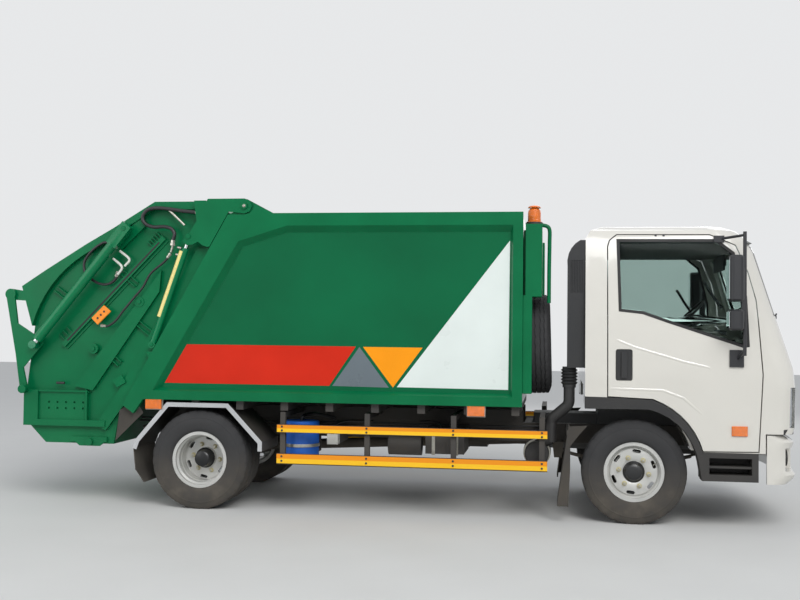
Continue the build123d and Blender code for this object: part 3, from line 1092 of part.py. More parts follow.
# Doors, their glasses and mirrors
handle_recess = (-82.0, 1188.0, 126.0, 236.0)
handle_depth = 985.0
for side, word in ((-1, "right"), (1, "left")):
    with BuildPart() as door_zone:
        face_prism(door_outline, door_gap, side, 700, cab_side)
        prism(window_outline, side * 690, side * (cab_side + 10), Mode.SUBTRACT)
    with BuildPart() as door:
        cab_form(0)
        cab_form(door_wall, Mode.SUBTRACT)
        add(door_zone.part, mode=Mode.INTERSECT)
        with BuildSketch(side_view(side * handle_depth)) as recess:
            with Locations((handle_recess[0], handle_recess[1])):
                RectangleRounded(handle_recess[2], handle_recess[3], 24)
        extrude(recess.sketch, amount=-side * 40, mode=Mode.SUBTRACT)
    save(door, f"door_{word}")
    with BuildPart() as glass_zone:
        face_prism(window_outline, seal_gap, side, 700, cab_side)
    with BuildPart() as glass:
        cab_form(glass_inset)
        cab_form(glass_inset + glass_thickness, Mode.SUBTRACT)
        add(glass_zone.part, mode=Mode.INTERSECT)
    save(glass, f"door_glass_{word}")
    with BuildPart() as mirror:
        for low, high, out in ((1660, 1992, 1195), (1452, 1602, 1190)):
            head_rows = []
            for z, edge in ((low, 14), (low + 14, 0), (high - 14, 0), (high, 14)):
                with BuildSketch(Plane.XY.offset(z)) as head_row:
                    with Locations(place(694, side * (1020 + out) / 2, 0)[:2]):
                        RectangleRounded(102 - 2 * edge, out - 1020 - 2 * edge, 34 - edge)
                head_rows.append(head_row.sketch)
            loft(head_rows, ruled=True)
        rod((760, side * 1100, 1270), (760, side * 1100, 2165), 13)
        block(565, 640, side * 938, side * 952, 2100, 2150)
        rod((625, side * 946, 2128), (756, side * 1096, 2140), 10)
        block(670, 770, side * (body_half + seat_gap), side * (body_half + 14), 1185, 1310)
        rod((730, side * (body_half + 8), 1250), (756, side * 1096, 1300), 11)
        block(735, 758, side * 1080, side * 1120, 1520, 1900)
    save(mirror, f"mirror_{word}")
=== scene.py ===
from math import asin, copysign, cos, hypot, pi, radians, sin

import bmesh
import bpy
from mathutils import Matrix, Vector


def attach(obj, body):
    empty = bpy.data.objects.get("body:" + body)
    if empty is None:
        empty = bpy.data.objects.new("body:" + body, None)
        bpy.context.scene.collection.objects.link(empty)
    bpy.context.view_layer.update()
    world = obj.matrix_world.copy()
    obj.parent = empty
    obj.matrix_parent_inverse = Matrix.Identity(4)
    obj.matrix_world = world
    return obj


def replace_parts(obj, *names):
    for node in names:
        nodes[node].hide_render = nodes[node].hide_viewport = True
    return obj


# Rear-loading garbage truck: finishes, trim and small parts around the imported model.
# Numbers are millimetres: x forward from the rear axle, y to the left, z up from the ground.

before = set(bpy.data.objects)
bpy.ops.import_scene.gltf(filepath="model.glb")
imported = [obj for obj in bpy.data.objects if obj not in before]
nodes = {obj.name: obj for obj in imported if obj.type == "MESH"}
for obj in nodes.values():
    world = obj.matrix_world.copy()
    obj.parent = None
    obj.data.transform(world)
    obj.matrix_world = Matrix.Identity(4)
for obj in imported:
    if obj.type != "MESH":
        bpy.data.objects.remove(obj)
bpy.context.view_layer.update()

MM = 0.001
REAR_AXLE_X = -1464.5
WHEELBASE = 3360.0
AXLE_Z = 387.5
FRONT_TYRE_Y = 820.0
OUTER_TWIN_Y = 860.0
TWIN_SPACING = 232.0
SIDES = ((-1, "right"), (1, "left"))


def at(x, y, z):
    """Point of the truck's frame, in metres."""
    return Vector(((REAR_AXLE_X + x) * MM, y * MM, z * MM))


def srgb(red, green, blue):
    """Linear colour of a display colour written from 0 to 255."""
    linear = []
    for value in (red / 255, green / 255, blue / 255):
        linear.append(value / 12.92 if value <= 0.04045 else ((value + 0.055) / 1.055) ** 2.4)
    return (*linear, 1.0)


# Materials

DUST = (138, 128, 112)
DUST_LOW = 0.15


def add_node(tree, kind, inputs=None, **settings):
    """New shader node with its settings, and its inputs set or linked."""
    made = tree.nodes.new(kind)
    for key, value in settings.items():
        setattr(made, key, value)
    for key, value in (inputs or {}).items():
        if isinstance(value, bpy.types.NodeSocket):
            tree.links.new(value, made.inputs[key])
        else:
            made.inputs[key].default_value = value
    return made


def mix_colour(tree, factor, first, second):
    """Mix of two colours, which this node takes in its sockets 6 and 7."""
    keys = {0: factor, 6: first, 7: second}
    return add_node(tree, "ShaderNodeMix", keys, data_type="RGBA").outputs[2]


def map_range(tree, value, low, high, to_low, to_high):
    keys = {"Value": value, "From Min": low, "From Max": high, "To Min": to_low, "To Max": to_high}
    return add_node(tree, "ShaderNodeMapRange", keys, clamp=True).outputs[0]


def calculate(tree, operation, first, second, clamp=False):
    keys = {0: first, 1: second}
    return add_node(tree, "ShaderNodeMath", keys, operation=operation, use_clamp=clamp).outputs[0]


def own_place(tree):
    """Place of the shaded point in the object's own frame, in metres."""
    return add_node(tree, "ShaderNodeTexCoord").outputs["Object"]


def noise(tree, scale, detail):
    keys = {"Vector": own_place(tree), "Scale": scale, "Detail": detail}
    return add_node(tree, "ShaderNodeTexNoise", keys).outputs["Fac"]


def ribs(tree, scale, direction):
    keys = {"Vector": own_place(tree), "Scale": scale}
    return add_node(tree, "ShaderNodeTexWave", keys, bands_direction=direction).outputs["Fac"]


def emboss(tree, height, strength, distance):
    """Gives a material fine relief; the distance is in metres."""
    keys = {"Height": height, "Strength": strength, "Distance": distance}
    relief = add_node(tree, "ShaderNodeBump", keys)
    tree.links.new(relief.outputs["Normal"], tree.nodes["Principled BSDF"].inputs["Normal"])


def new_material(name):
    made = bpy.data.materials.new(name)
    made.use_nodes = True
    return made, made.node_tree, made.node_tree.nodes["Principled BSDF"]


def surface(name, colour, roughness=0.5, metallic=0.0, mottle=0.05, grain=3.0, bump=0.05, bump_scale=300.0,
            dust=0.0, dust_top=1.3, **sockets):
    """Painted, moulded or metal surface with uneven colour and gloss, fine relief and settled dust."""
    made, tree, shader = new_material(name)
    base = srgb(*colour)[:3]
    dark = tuple(c * (1 - mottle) for c in base) + (1.0,)
    light = tuple(min(1.0, c * (1 + mottle)) for c in base) + (1.0,)
    broad = noise(tree, grain, 5.0)
    tint = mix_colour(tree, map_range(tree, broad, 0.3, 0.7, 0.0, 1.0), dark, light)
    gloss = map_range(tree, broad, 0.3, 0.7, roughness * 0.88, min(1.0, roughness * 1.15))
    if dust:
        height = add_node(tree, "ShaderNodeSeparateXYZ", {"Vector": own_place(tree)}).outputs["Z"]
        low = map_range(tree, height, DUST_LOW, dust_top, dust, 0.0)
        patch = calculate(tree, "MULTIPLY", low, map_range(tree, broad, 0.35, 0.65, 0.45, 1.0))
        tint = mix_colour(tree, patch, tint, srgb(*DUST))
        gloss = calculate(tree, "ADD", gloss, patch, clamp=True)
    emboss(tree, noise(tree, bump_scale, 3.0), bump, 0.002)
    tree.links.new(tint, shader.inputs["Base Color"])
    tree.links.new(gloss, shader.inputs["Roughness"])
    shader.inputs["Metallic"].default_value = metallic
    for key, value in sockets.items():
        shader.inputs[key.replace("_", " ").title().replace("Ior", "IOR")].default_value = value
    return made


def glass(name, colour):
    """Clear or tinted sheet with faint waviness and a little dust."""
    made, tree, shader = new_material(name)
    haze = noise(tree, 6.0, 6.0)
    hazy = tuple(c * 0.94 for c in colour[:3]) + (1.0,)
    tree.links.new(map_range(tree, haze, 0.4, 0.8, 0.02, 0.08), shader.inputs["Roughness"])
    tree.links.new(mix_colour(tree, haze, colour, hazy), shader.inputs["Base Color"])
    emboss(tree, noise(tree, 1.6, 1.0), 0.03, 0.01)
    shader.inputs["Transmission Weight"].default_value = 1.0
    shader.inputs["IOR"].default_value = 1.12
    return made


def lens(name, colour):
    """Moulded lamp lens: clear skin over a ribbed coloured body."""
    made = surface(name, colour, 0.12, mottle=0.12, grain=30.0, coat_weight=0.3, coat_roughness=0.05)
    emboss(made.node_tree, ribs(made.node_tree, 90.0, "Z"), 0.5, 0.002)
    return made


def woven(name, colour):
    """Woven seat cloth: two crossed sets of threads, with a soft sheen."""
    made = surface(name, colour, 0.9, mottle=0.15, grain=40.0, sheen_weight=0.4, sheen_roughness=0.5)
    tree = made.node_tree
    threads = calculate(tree, "MAXIMUM", ribs(tree, 900.0, "X"), ribs(tree, 900.0, "Y"))
    emboss(tree, threads, 0.4, 0.001)
    return made


MATS = {
    "chassis_black": surface("chassis_paint", (34, 34, 36), 0.55, dust=0.35, bump=0.15),
    "forged_black": surface("forged_steel", (44, 43, 43), 0.7, dust=0.45, bump=0.4, bump_scale=120.0),
    "engine_grey": surface("engine_casting", (96, 98, 100), 0.6, dust=0.3, bump=0.5, bump_scale=90.0),
    "tank_grey": surface("tank_paint", (46, 47, 50), 0.4, dust=0.3),
    "equipment_mixed": surface("equipment_paint", (42, 43, 46), 0.45, dust=0.3),
    "black_plastic": surface("black_moulding", (30, 31, 33), 0.5, bump=0.35, bump_scale=900.0, dust=0.12),
    "guard_yellow": surface("guard_paint", (252, 196, 28), 0.4, dust=0.08, specular_ior_level=0.3),
    "sheet_black": surface("sheet_paint", (33, 33, 35), 0.45, dust=0.3),
    "flap_rubber": surface("flap_rubber", (40, 40, 41), 0.8, bump=0.4, bump_scale=400.0, dust=0.35),
    "body_green": surface("body_paint", (0, 104, 62), 0.34, mottle=0.10, bump=0.04, dust=0.05, dust_top=1.0,
                          coat_weight=0.05, coat_roughness=0.12, specular_ior_level=0.16),
    "panel_green": surface("panel_paint", (0, 96, 58), 0.2, mottle=0.14, grain=1.2, bump=0.015,
                           bump_scale=30.0, coat_weight=0.08, coat_roughness=0.06, specular_ior_level=0.16),
    "panel_white": surface("panel_white_film", (222, 230, 225), 0.3, mottle=0.03),
    "panel_red": surface("panel_red_film", (205, 38, 10), 0.34, mottle=0.06, specular_ior_level=0.25),
    "panel_grey": surface("panel_grey_film", (104, 114, 120), 0.3, specular_ior_level=0.3),
    "panel_orange": surface("panel_orange_film", (246, 152, 12), 0.34, specular_ior_level=0.25),
    "tyre_black": surface("tyre_rubber", (46, 46, 47), 0.78, mottle=0.12, grain=9.0, bump=0.5,
                          bump_scale=260.0, dust=0.30, dust_top=0.5),
    "rim_silver": surface("rim_paint", (196, 196, 192), 0.36, metallic=0.35, mottle=0.06, grain=14.0,
                          dust=0.10, dust_top=0.8, coat_weight=0.2),
    "lamp_amber": lens("amber_lens", (228, 112, 10)),
    "lamp_red": lens("red_lens", (176, 12, 10)),
    "hydraulic_green": surface("cylinder_paint", (0, 112, 68), 0.26, mottle=0.08, coat_weight=0.1,
                               specular_ior_level=0.25),
    "rod_chrome": surface("chromed_rod", (225, 226, 228), 0.08, metallic=1.0, mottle=0.02, bump=0.02),
    "steel_bare": surface("zinc_plated_steel", (178, 176, 166), 0.34, metallic=0.9, mottle=0.12, grain=40.0,
                          bump=0.12),
    "alloy_strip": surface("anodised_strip", (196, 198, 200), 0.36, metallic=0.85, mottle=0.04, dust=0.1),
    "cab_white": surface("cab_paint", (214, 211, 202), 0.2, mottle=0.025, grain=1.5, bump=0.01,
                         coat_weight=0.7, coat_roughness=0.05, dust=0.05, dust_top=1.1),
    "window_glass": glass("window_glass", (0.56, 0.66, 0.63, 1.0)),
    "lamp_clear": glass("clear_lens", (0.78, 0.80, 0.82, 1.0)),
    "lamp_chrome": surface("lamp_reflector", (230, 230, 232), 0.12, metallic=1.0, bump=0.3, bump_scale=200.0),
    "interior_grey": surface("interior_moulding", (58, 60, 62), 0.65, bump=0.4, bump_scale=700.0),
    "headliner": surface("headliner_felt", (120, 122, 120), 0.9, bump=0.6, bump_scale=900.0),
    "seat_fabric": woven("seat_cloth", (52, 54, 58)),
    "mirror_black": surface("mirror_moulding", (38, 39, 42), 0.42, bump=0.2, bump_scale=800.0),
    "mirror_glass": surface("mirror_silver", (215, 220, 222), 0.03, metallic=1.0, bump=0.0),
    "hose_black": surface("hose_rubber", (24, 24, 26), 0.5, bump=0.3, bump_scale=600.0, coat_weight=0.2),
    "tape_yellow": surface("reflective_tape", (232, 214, 130), 0.35, mottle=0.1, grain=60.0, coat_weight=0.5),
    "seal_rubber": surface("seal_rubber", (20, 20, 21), 0.6, bump=0.2),
    "frit_black": surface("glass_border", (14, 15, 16), 0.15, coat_weight=0.5),
    "nut_cream": surface("wheel_nut_paint", (196, 188, 150), 0.5, mottle=0.15, grain=60.0, dust=0.2,
                         dust_top=0.9),
    "housing_grey": surface("lamp_housing", (150, 148, 140), 0.5, mottle=0.08, grain=20.0, dust=0.2),
    "plate_white": surface("blank_plate", (216, 216, 208), 0.4, mottle=0.03, grain=12.0),
    "orange_case": surface("side_lamp_case", (240, 140, 24), 0.35, mottle=0.08, grain=30.0),
}


def region(tree, low, high):
    """1 inside a box of the object's own frame, in metres, and 0 outside."""
    axes = add_node(tree, "ShaderNodeSeparateXYZ", {"Vector": own_place(tree)}).outputs
    mask = 1.0
    for axis, least, most in zip(axes, low, high):
        for operation, limit in (("GREATER_THAN", least), ("LESS_THAN", most)):
            mask = calculate(tree, "MULTIPLY", mask, calculate(tree, operation, axis, limit))
    return mask


def round_line(tree, x, z, radius):
    """1 within a radius of a line across the truck at (x, z) in mm, and 0 outside."""
    keys = {0: own_place(tree), 1: (1.0, 0.0, 1.0)}
    flat = add_node(tree, "ShaderNodeVectorMath", keys, operation="MULTIPLY").outputs[0]
    keys = {0: flat, 1: tuple(at(x, 0, z))}
    gap = add_node(tree, "ShaderNodeVectorMath", keys, operation="DISTANCE").outputs["Value"]
    return calculate(tree, "LESS_THAN", gap, radius * MM)


def repaint(finish, pick, limits, colour, metallic=None):
    """Paints the part of a finish that region or round_line picks out in another colour."""
    tree = MATS[finish].node_tree
    shader = tree.nodes["Principled BSDF"]
    mask = pick(tree, *limits)
    under = shader.inputs["Base Color"].links[0].from_socket
    tree.links.new(mix_colour(tree, mask, under, srgb(*colour)), shader.inputs["Base Color"])
    if metallic is not None:
        was = shader.inputs["Metallic"].default_value
        tree.links.new(map_range(tree, mask, 0.0, 1.0, was, metallic), shader.inputs["Metallic"])


# Parts of a node in a colour of their own: hubs, eyes of the rods, blue drum with a pale part; and painted
# shade in a darker orange on the folds of the guard rails
for axle_x in (0.0, WHEELBASE):
    repaint("rim_silver", round_line, (axle_x, AXLE_Z, 81.0), (26, 27, 28), 0.0)
for eye in ((-100.0, 2150.0, 28.0), (-1385.0, 1279.0, 34.0)):
    repaint("rod_chrome", round_line, eye, (0, 118, 76), 0.0)
repaint("equipment_mixed", region, (at(600, -900, 419), at(930, -590, 720)), (26, 92, 186))
repaint("equipment_mixed", region, (at(990, -790, 515), at(1084, -700, 605)), (206, 206, 198))
# Painted shade: the folds of the guard rails get a darker orange than the rails' yellow paint
for fold_low, fold_high in ((422.0, 462.0), (655.0, 690.0)):
    fold = (at(0, -1100, fold_low), at(4000, 1100, fold_high))
    repaint("guard_yellow", region, fold, (236, 146, 24))


# Building helpers

EDGE_ANGLE = 32.0
WELD_DISTANCE = 0.00005
DOUBLES_DISTANCE = 0.00002


def add_object(name, data):
    made = bpy.data.objects.new(name, data)
    bpy.context.scene.collection.objects.link(made)
    return made


def round_edges(thing, width, segments=2):
    edge = thing.modifiers.new("edge", "BEVEL")
    edge.width = width * MM
    edge.segments = segments
    edge.limit_method = "ANGLE"
    edge.angle_limit = radians(EDGE_ANGLE)
    edge.harden_normals = True
    edge.use_clamp_overlap = True


def dress(thing, finish, width):
    """Gives a CAD node its finish, welded corners and softly rounded edges."""
    mesh = thing.data
    mesh.materials.clear()
    mesh.materials.append(MATS[finish])
    if "custom_normal" in mesh.attributes:
        mesh.attributes.remove(mesh.attributes["custom_normal"])
    mesh.polygons.foreach_set("use_smooth", [True] * len(mesh.polygons))
    thing.modifiers.new("weld", "WELD").merge_threshold = WELD_DISTANCE
    round_edges(thing, width)


def piece(name, bm, body, slot, mat=None, width=0.0, segments=2, smooth=35.0):
    """Finished object from a bmesh: it gets its material and rides on its body."""
    bmesh.ops.remove_doubles(bm, verts=bm.verts, dist=DOUBLES_DISTANCE)
    bmesh.ops.recalc_face_normals(bm, faces=bm.faces)
    mesh = bpy.data.meshes.new(name)
    bm.to_mesh(mesh)
    bm.free()
    mesh.materials.append(MATS[mat or slot])
    mesh.shade_smooth()
    mesh.set_sharp_from_angle(angle=radians(smooth))
    thing = add_object(name, mesh)
    if width:
        round_edges(thing, width, segments)
    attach(thing, body)
    return thing


def add_prism(bm, outline, y0, y1):
    """Adds a plate with this outline in the side view, between two values of y."""
    near = [bm.verts.new(at(x, y0, z)) for x, z in outline]
    far = [bm.verts.new(at(x, y1, z)) for x, z in outline]
    bm.faces.new(near)
    bm.faces.new(far[::-1])
    count = len(outline)
    for i in range(count):
        j = (i + 1) % count
        bm.faces.new((near[j], near[i], far[i], far[j]))


def add_box(bm, x0, x1, y0, y1, z0, z1):
    add_prism(bm, [(x0, z0), (x1, z0), (x1, z1), (x0, z1)], y0, y1)


def add_turned(bm, profile, centre, axis, segments=48):
    """Adds a turned form: profile is (radius, distance along the axis) in mm, closed round its end points."""
    along = Vector(axis).normalized()
    side = along.orthogonal().normalized()
    other = along.cross(side)
    base = at(*centre)
    rings = []
    for radius, distance in profile:
        if radius < 0.01:
            rings.append([bm.verts.new(base + along * distance * MM)])
            continue
        ring = []
        for k in range(segments):
            angle = 2 * pi * k / segments
            ring.append(bm.verts.new(base + along * distance * MM
                                     + (side * cos(angle) + other * sin(angle)) * radius * MM))
        rings.append(ring)
    for first, second in zip(rings, rings[1:]):
        for k in range(segments):
            corners = [first[k % len(first)], first[(k + 1) % len(first)],
                       second[(k + 1) % len(second)], second[k % len(second)]]
            unique = list(dict.fromkeys(corners))
            if len(unique) > 2:
                bm.faces.new(unique)


def add_disc(bm, radius, height, centre, axis, segments=20):
    add_turned(bm, [(0, 0), (radius, 0), (radius, height), (0, height)], centre, axis, segments)


def add_tube(bm, start, end, radius, segments=20):
    axis = Vector(end) - Vector(start)
    add_disc(bm, radius, axis.length, start, axis, segments)


def add_bolt(bm, centre, axis, size):
    """Adds a hexagon head on its washer."""
    add_disc(bm, size * 0.95, size * 0.18, centre, axis, 18)
    along = Vector(axis).normalized() * size * 0.18
    raised = tuple(c + d for c, d in zip(centre, along))
    add_turned(bm, [(0, 0), (size * 0.72, 0), (size * 0.72, size * 0.5), (size * 0.6, size * 0.58),
                    (0, size * 0.58)], raised, axis, 6)


def smooth_path(points, steps):
    """Points of a smooth curve through the given ones, in mm."""
    known = [Vector(p) for p in points]
    ends = [known[0] * 2 - known[1]] + known + [known[-1] * 2 - known[-2]]
    path = []
    for a, b, c, d in zip(ends, ends[1:], ends[2:], ends[3:]):
        for i in range(steps):
            t = i / steps
            path.append(0.5 * (2 * b + (c - a) * t + (2 * a - 5 * b + 4 * c - d) * t ** 2
                               + (3 * b - a - 3 * c + d) * t ** 3))
    return path + [known[-1]]


def join_rings(bm, rings, step, closed=False):
    """Adds the faces between rings of points, going 1 or -1 point round each ring."""
    for first, second in zip(rings, rings[1:] + rings[:1] if closed else rings[1:]):
        for k in range(len(first)):
            j = (k + step) % len(first)
            bm.faces.new((first[k], first[j], second[j], second[k]))


def add_hose(bm, points, radius, steps=8, segments=12):
    """Adds a round hose or pipe along a smooth path, with closed ends."""
    path = smooth_path(points, steps)
    normal = (path[1] - path[0]).orthogonal().normalized()
    rings = []
    for i, point in enumerate(path):
        tangent = (path[min(i + 1, len(path) - 1)] - path[max(i - 1, 0)]).normalized()
        normal = (normal - tangent * normal.dot(tangent)).normalized()
        other = tangent.cross(normal)
        ring = []
        for k in range(segments):
            angle = 2 * pi * k / segments
            reach = (normal * cos(angle) + other * sin(angle)) * radius
            ring.append(bm.verts.new(at(*(point + reach))))
        rings.append(ring)
    join_rings(bm, rings, 1)
    bm.faces.new(rings[0][::-1])
    bm.faces.new(rings[-1])


def add_grid(bm, front, back):
    """Adds a closed sheet between two grids of points with the same rows."""
    rows, columns = len(front), len(front[0])
    a = [[bm.verts.new(at(*p)) for p in row] for row in front]
    b = [[bm.verts.new(at(*p)) for p in row] for row in back]
    for i in range(rows - 1):
        for j in range(columns - 1):
            bm.faces.new((a[i][j], a[i][j + 1], a[i + 1][j + 1], a[i + 1][j]))
            bm.faces.new((b[i][j], b[i + 1][j], b[i + 1][j + 1], b[i][j + 1]))
    for i in range(rows - 1):
        bm.faces.new((a[i][0], a[i + 1][0], b[i + 1][0], b[i][0]))
        bm.faces.new((a[i][-1], b[i][-1], b[i + 1][-1], a[i + 1][-1]))
    for j in range(columns - 1):
        bm.faces.new((a[0][j], b[0][j], b[0][j + 1], a[0][j + 1]))
        bm.faces.new((a[-1][j], a[-1][j + 1], b[-1][j + 1], b[-1][j]))


def between(start, end, share):
    return start[0] + (end[0] - start[0]) * share, start[1] + (end[1] - start[1]) * share


def slope(start, end):
    length = hypot(end[0] - start[0], end[1] - start[1])
    return (end[0] - start[0]) / length, (end[1] - start[1]) / length


def inset(outline, amounts):
    """Outline with each edge moved to its left by its own amount."""
    lines = []
    for i, amount in enumerate(amounts):
        start, end = outline[i], outline[(i + 1) % len(outline)]
        ux, uz = slope(start, end)
        lines.append((start[0] - uz * amount, start[1] + ux * amount, ux, uz))
    corners = []
    for i, (x1, z1, ux, uz) in enumerate(lines):
        x0, z0, vx, vz = lines[i - 1]
        along = ((x1 - x0) * uz - (z1 - z0) * ux) / (vx * uz - vz * ux)
        corners.append((x0 + vx * along, z0 + vz * along))
    return corners


# Finishes of the modelled nodes: finish, edge rounding in mm, nodes
FINISHES = [
    ("chassis_black", 2.0, "chassis_frame cross_members sub_frame guard_posts"),
    ("flap_rubber", 1.0, "front_mudguards mudflaps"),
    ("forged_black", 4.0, "front_axle rear_axle_and_shaft"),
    ("forged_black", 3.0, "knuckle_right knuckle_left"),
    ("forged_black", 1.5, "leaf_springs"),
    ("forged_black", 1.0, "tie_rod"),
    ("engine_grey", 8.0, "engine"),
    ("tank_grey", 2.0, "fuel_tank"),
    ("equipment_mixed", 3.0, "side_equipment"),
    ("black_plastic", 3.0, "air_cleaner"),
    ("black_plastic", 5.0, "cab_trim"),
    ("black_plastic", 12.0, "air_duct"),
    ("guard_yellow", 2.5, "guard_rails"),
    ("sheet_black", 1.5, "rear_fenders"),
    ("panel_green", 2.0, "body_shell"),
    ("body_green", 4.0, "body_frame oil_tank"),
    ("body_green", 3.0, "ejector_panel tailgate_frames carriage sweep_blade bin_lift_arms"),
    ("body_green", 2.0, "tailgate_roof hopper_floor"),
    ("body_green", 1.5, "tailgate_walls"),
    ("lamp_amber", 3.0, "marker_lamps"),
    ("lamp_red", 3.0, "tail_lamps"),
    ("lamp_clear", 2.0, "cab_lamps"),
    ("hydraulic_green", 2.0, "packing_cylinders lift_barrels"),
    ("hydraulic_green", 2.5, "bin_lift_barrels"),
    ("rod_chrome", 1.0, "lift_rods bin_lift_rods"),
    ("cab_white", 6.0, "bumper"),
    ("cab_white", 5.0, "cab_shell"),
    ("cab_white", 4.0, "door_right door_left"),
    ("window_glass", 0.0, "cab_windows door_glass_right door_glass_left"),
    ("mirror_black", 12.0, "mirror_right mirror_left"),
    ("interior_grey", 8.0, "dashboard"),
    ("seat_fabric", 20.0, "seats"),
    ("tyre_black", 2.0, "front_tyre_right front_tyre_left rear_tyres_right rear_tyres_left spare_tyre"),
    ("rim_silver", 1.5, "front_rim_right front_rim_left rear_rims_right rear_rims_left spare_rim"),
]
for finish, rounding, names in FINISHES:
    for name in names.split():
        dress(nodes[name], finish, rounding)

# Coloured film on the side panels
PANEL_Y = 955.0
FILM = 1.2
STRIPES = [  # name, finish, outline (x, z)
    ("red", "panel_red", [(-294, 990), (1044, 990), (1250, 1297), (-137, 1297)]),
    ("grey", "panel_grey", [(1068, 990), (1512, 985), (1279, 1294)]),
    ("orange", "panel_orange", [(1543, 986), (1770, 1295), (1307, 1295)]),
    ("white", "panel_white", [(1574, 990), (2424, 985), (2430, 2116)]),
]
for side, word in SIDES:
    for name, finish, outline in STRIPES:
        bm = bmesh.new()
        add_prism(bm, outline, side * (PANEL_Y + 0.1), side * (PANEL_Y + FILM))
        piece(f"panel_{name}_{word}", bm, "truck", "panel_white", finish)

# Tyres with their tread: radius and distance from the middle, from bead to shoulder
TYRE_SIDE = [(206, 58), (223, 62), (224, 78), (230, 86), (236, 90.5), (243, 93.5), (250, 95.5), (272, 100),
             (300, 100.3), (322, 98), (327, 96.3), (333, 97.3), (336, 95), (352, 90), (367.5, 84), (381, 76),
             (385.5, 72), (387, 66)]
TREAD_RADIUS = 387.2
TREAD_SEGMENTS = 180
NOTCH_STEP = 6
NOTCH_DEPTH = 7.0
GROOVE_DEPTH = 8.5
ZIGZAG = 3.0


def add_tyre(bm, centre, axis):
    """Adds a tyre with four zigzag grooves and notched shoulders."""
    half = [(r, d, 0.0, NOTCH_DEPTH if r > 380 else 0.0) for r, d in TYRE_SIDE]
    bottom = TREAD_RADIUS - GROOVE_DEPTH
    for groove in (51.0, 20.0):
        half += [(TREAD_RADIUS, groove + 5, ZIGZAG, 0.0), (bottom, groove + 4, ZIGZAG, 0.0),
                 (bottom, groove - 4, ZIGZAG, 0.0), (TREAD_RADIUS + 0.2, groove - 5, ZIGZAG, 0.0)]
    rows = half + [(r, -d, -z, n) for r, d, z, n in reversed(half)]
    along = Vector(axis).normalized()
    up = along.orthogonal().normalized()
    other = along.cross(up)
    rings = []
    for radius, distance, swing, notch in rows:
        ring = []
        for k in range(TREAD_SEGMENTS):
            angle = 2 * pi * k / TREAD_SEGMENTS
            wave = abs(k % NOTCH_STEP - NOTCH_STEP / 2) / (NOTCH_STEP / 4) - 1
            reach = radius - (notch if k % NOTCH_STEP == 0 else 0.0)
            ring.append(bm.verts.new(at(*centre) + (along * (distance + swing * wave)
                                     + (up * cos(angle) + other * sin(angle)) * reach) * MM))
        rings.append(ring)
    join_rings(bm, rings, 1, closed=True)


def add_tread(name, node, body, centre, axis):
    bm = bmesh.new()
    add_tyre(bm, centre, axis)
    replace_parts(piece(name, bm, body, "tyre_black", smooth=40.0), node)


TREADS = [  # name, replaced node, body, x, y
    ("front_tread", "front_tyre", "front_wheel", WHEELBASE, FRONT_TYRE_Y),
    ("outer_tread", "rear_tyres", "rear_wheels", 0.0, OUTER_TWIN_Y),
    ("inner_tread", "rear_tyres", "rear_wheels", 0.0, OUTER_TWIN_Y - TWIN_SPACING),
]
add_tread("spare_tread", "spare_tyre", "truck", (2640.3, -540.0, 1331.0), (1.0, 0.0, 0.03))
for side, word in SIDES:
    for name, node, body, x, y in TREADS:
        centre = (x, side * y, AXLE_Z)
        add_tread(f"{name}_{word}", f"{node}_{word}", f"{body}_{word}", centre, (0.0, 1.0, 0.0))

# Wheel nuts on their studs, and the valves
STUD_RING_RADIUS = 111
WHEEL_FACES = (("front_wheel", WHEELBASE, FRONT_TYRE_Y + 50), ("rear_wheels", 0.0, OUTER_TWIN_Y - 105))
for side, word in SIDES:
    for body, x, face in WHEEL_FACES:
        nuts = bmesh.new()
        studs = bmesh.new()
        for k in range(6):
            angle = radians(60 * k - 8)
            nut_x = x + STUD_RING_RADIUS * cos(angle)
            nut_z = AXLE_Z + STUD_RING_RADIUS * sin(angle)
            washer, nut, inner, outer = ((nut_x, side * (face + out), nut_z) for out in (0, 3, 15, 27))
            add_turned(nuts, [(0, 0), (19, 0), (19, 3), (0, 4)], washer, (0, side, 0), 28)
            add_turned(nuts, [(0, 0), (15.5, 0), (15.5, 13), (12.5, 16), (0, 16)], nut, (0, side, 0), 6)
            add_tube(studs, inner, outer, 9)
        valve_angle = radians(22)
        valve = [(x + r * cos(valve_angle), side * (face + d), AXLE_Z + r * sin(valve_angle))
                 for r, d in ((178, -14), (172, 4), (160, 16), (150, 22))]
        add_hose(studs, valve, 4.5, 5, 10)
        piece(f"nuts_{body}_{word}", nuts, f"{body}_{word}", "rim_silver", "nut_cream", 1.2)
        piece(f"studs_{body}_{word}", studs, f"{body}_{word}", "rim_silver", "steel_bare", 0.8)

# Fender strips, marker lamp housings, guard rail edges and bolts
FENDER_LINE = [(-540, 470), (-515, 540), (-262, 838), (240, 838), (520, 545), (520, 470)]


def band(line, width):
    """Closed outline of a strip of this width on the left of a line."""
    beside = []
    for i, point in enumerate(line):
        ux, uz = slope(line[max(i - 1, 0)], line[max(i, 1)])
        vx, vz = slope(line[min(i, len(line) - 2)], line[min(i + 1, len(line) - 1)])
        nx, nz = -(uz + vz), ux + vx
        share = width / (nx * -uz + nz * ux)
        beside.append((point[0] + nx * share, point[1] + nz * share))
    return line + beside[::-1]


def add_loft(bm, rows):
    """Adds a form through rectangles: z, and the two values of x and of y."""
    rings = [[bm.verts.new(at(x, y, z)) for x, y in ((x0, y0), (x1, y0), (x1, y1), (x0, y1))]
             for z, x0, x1, y0, y1 in rows]
    bm.faces.new(rings[0])
    bm.faces.new(rings[-1][::-1])
    join_rings(bm, rings, -1)


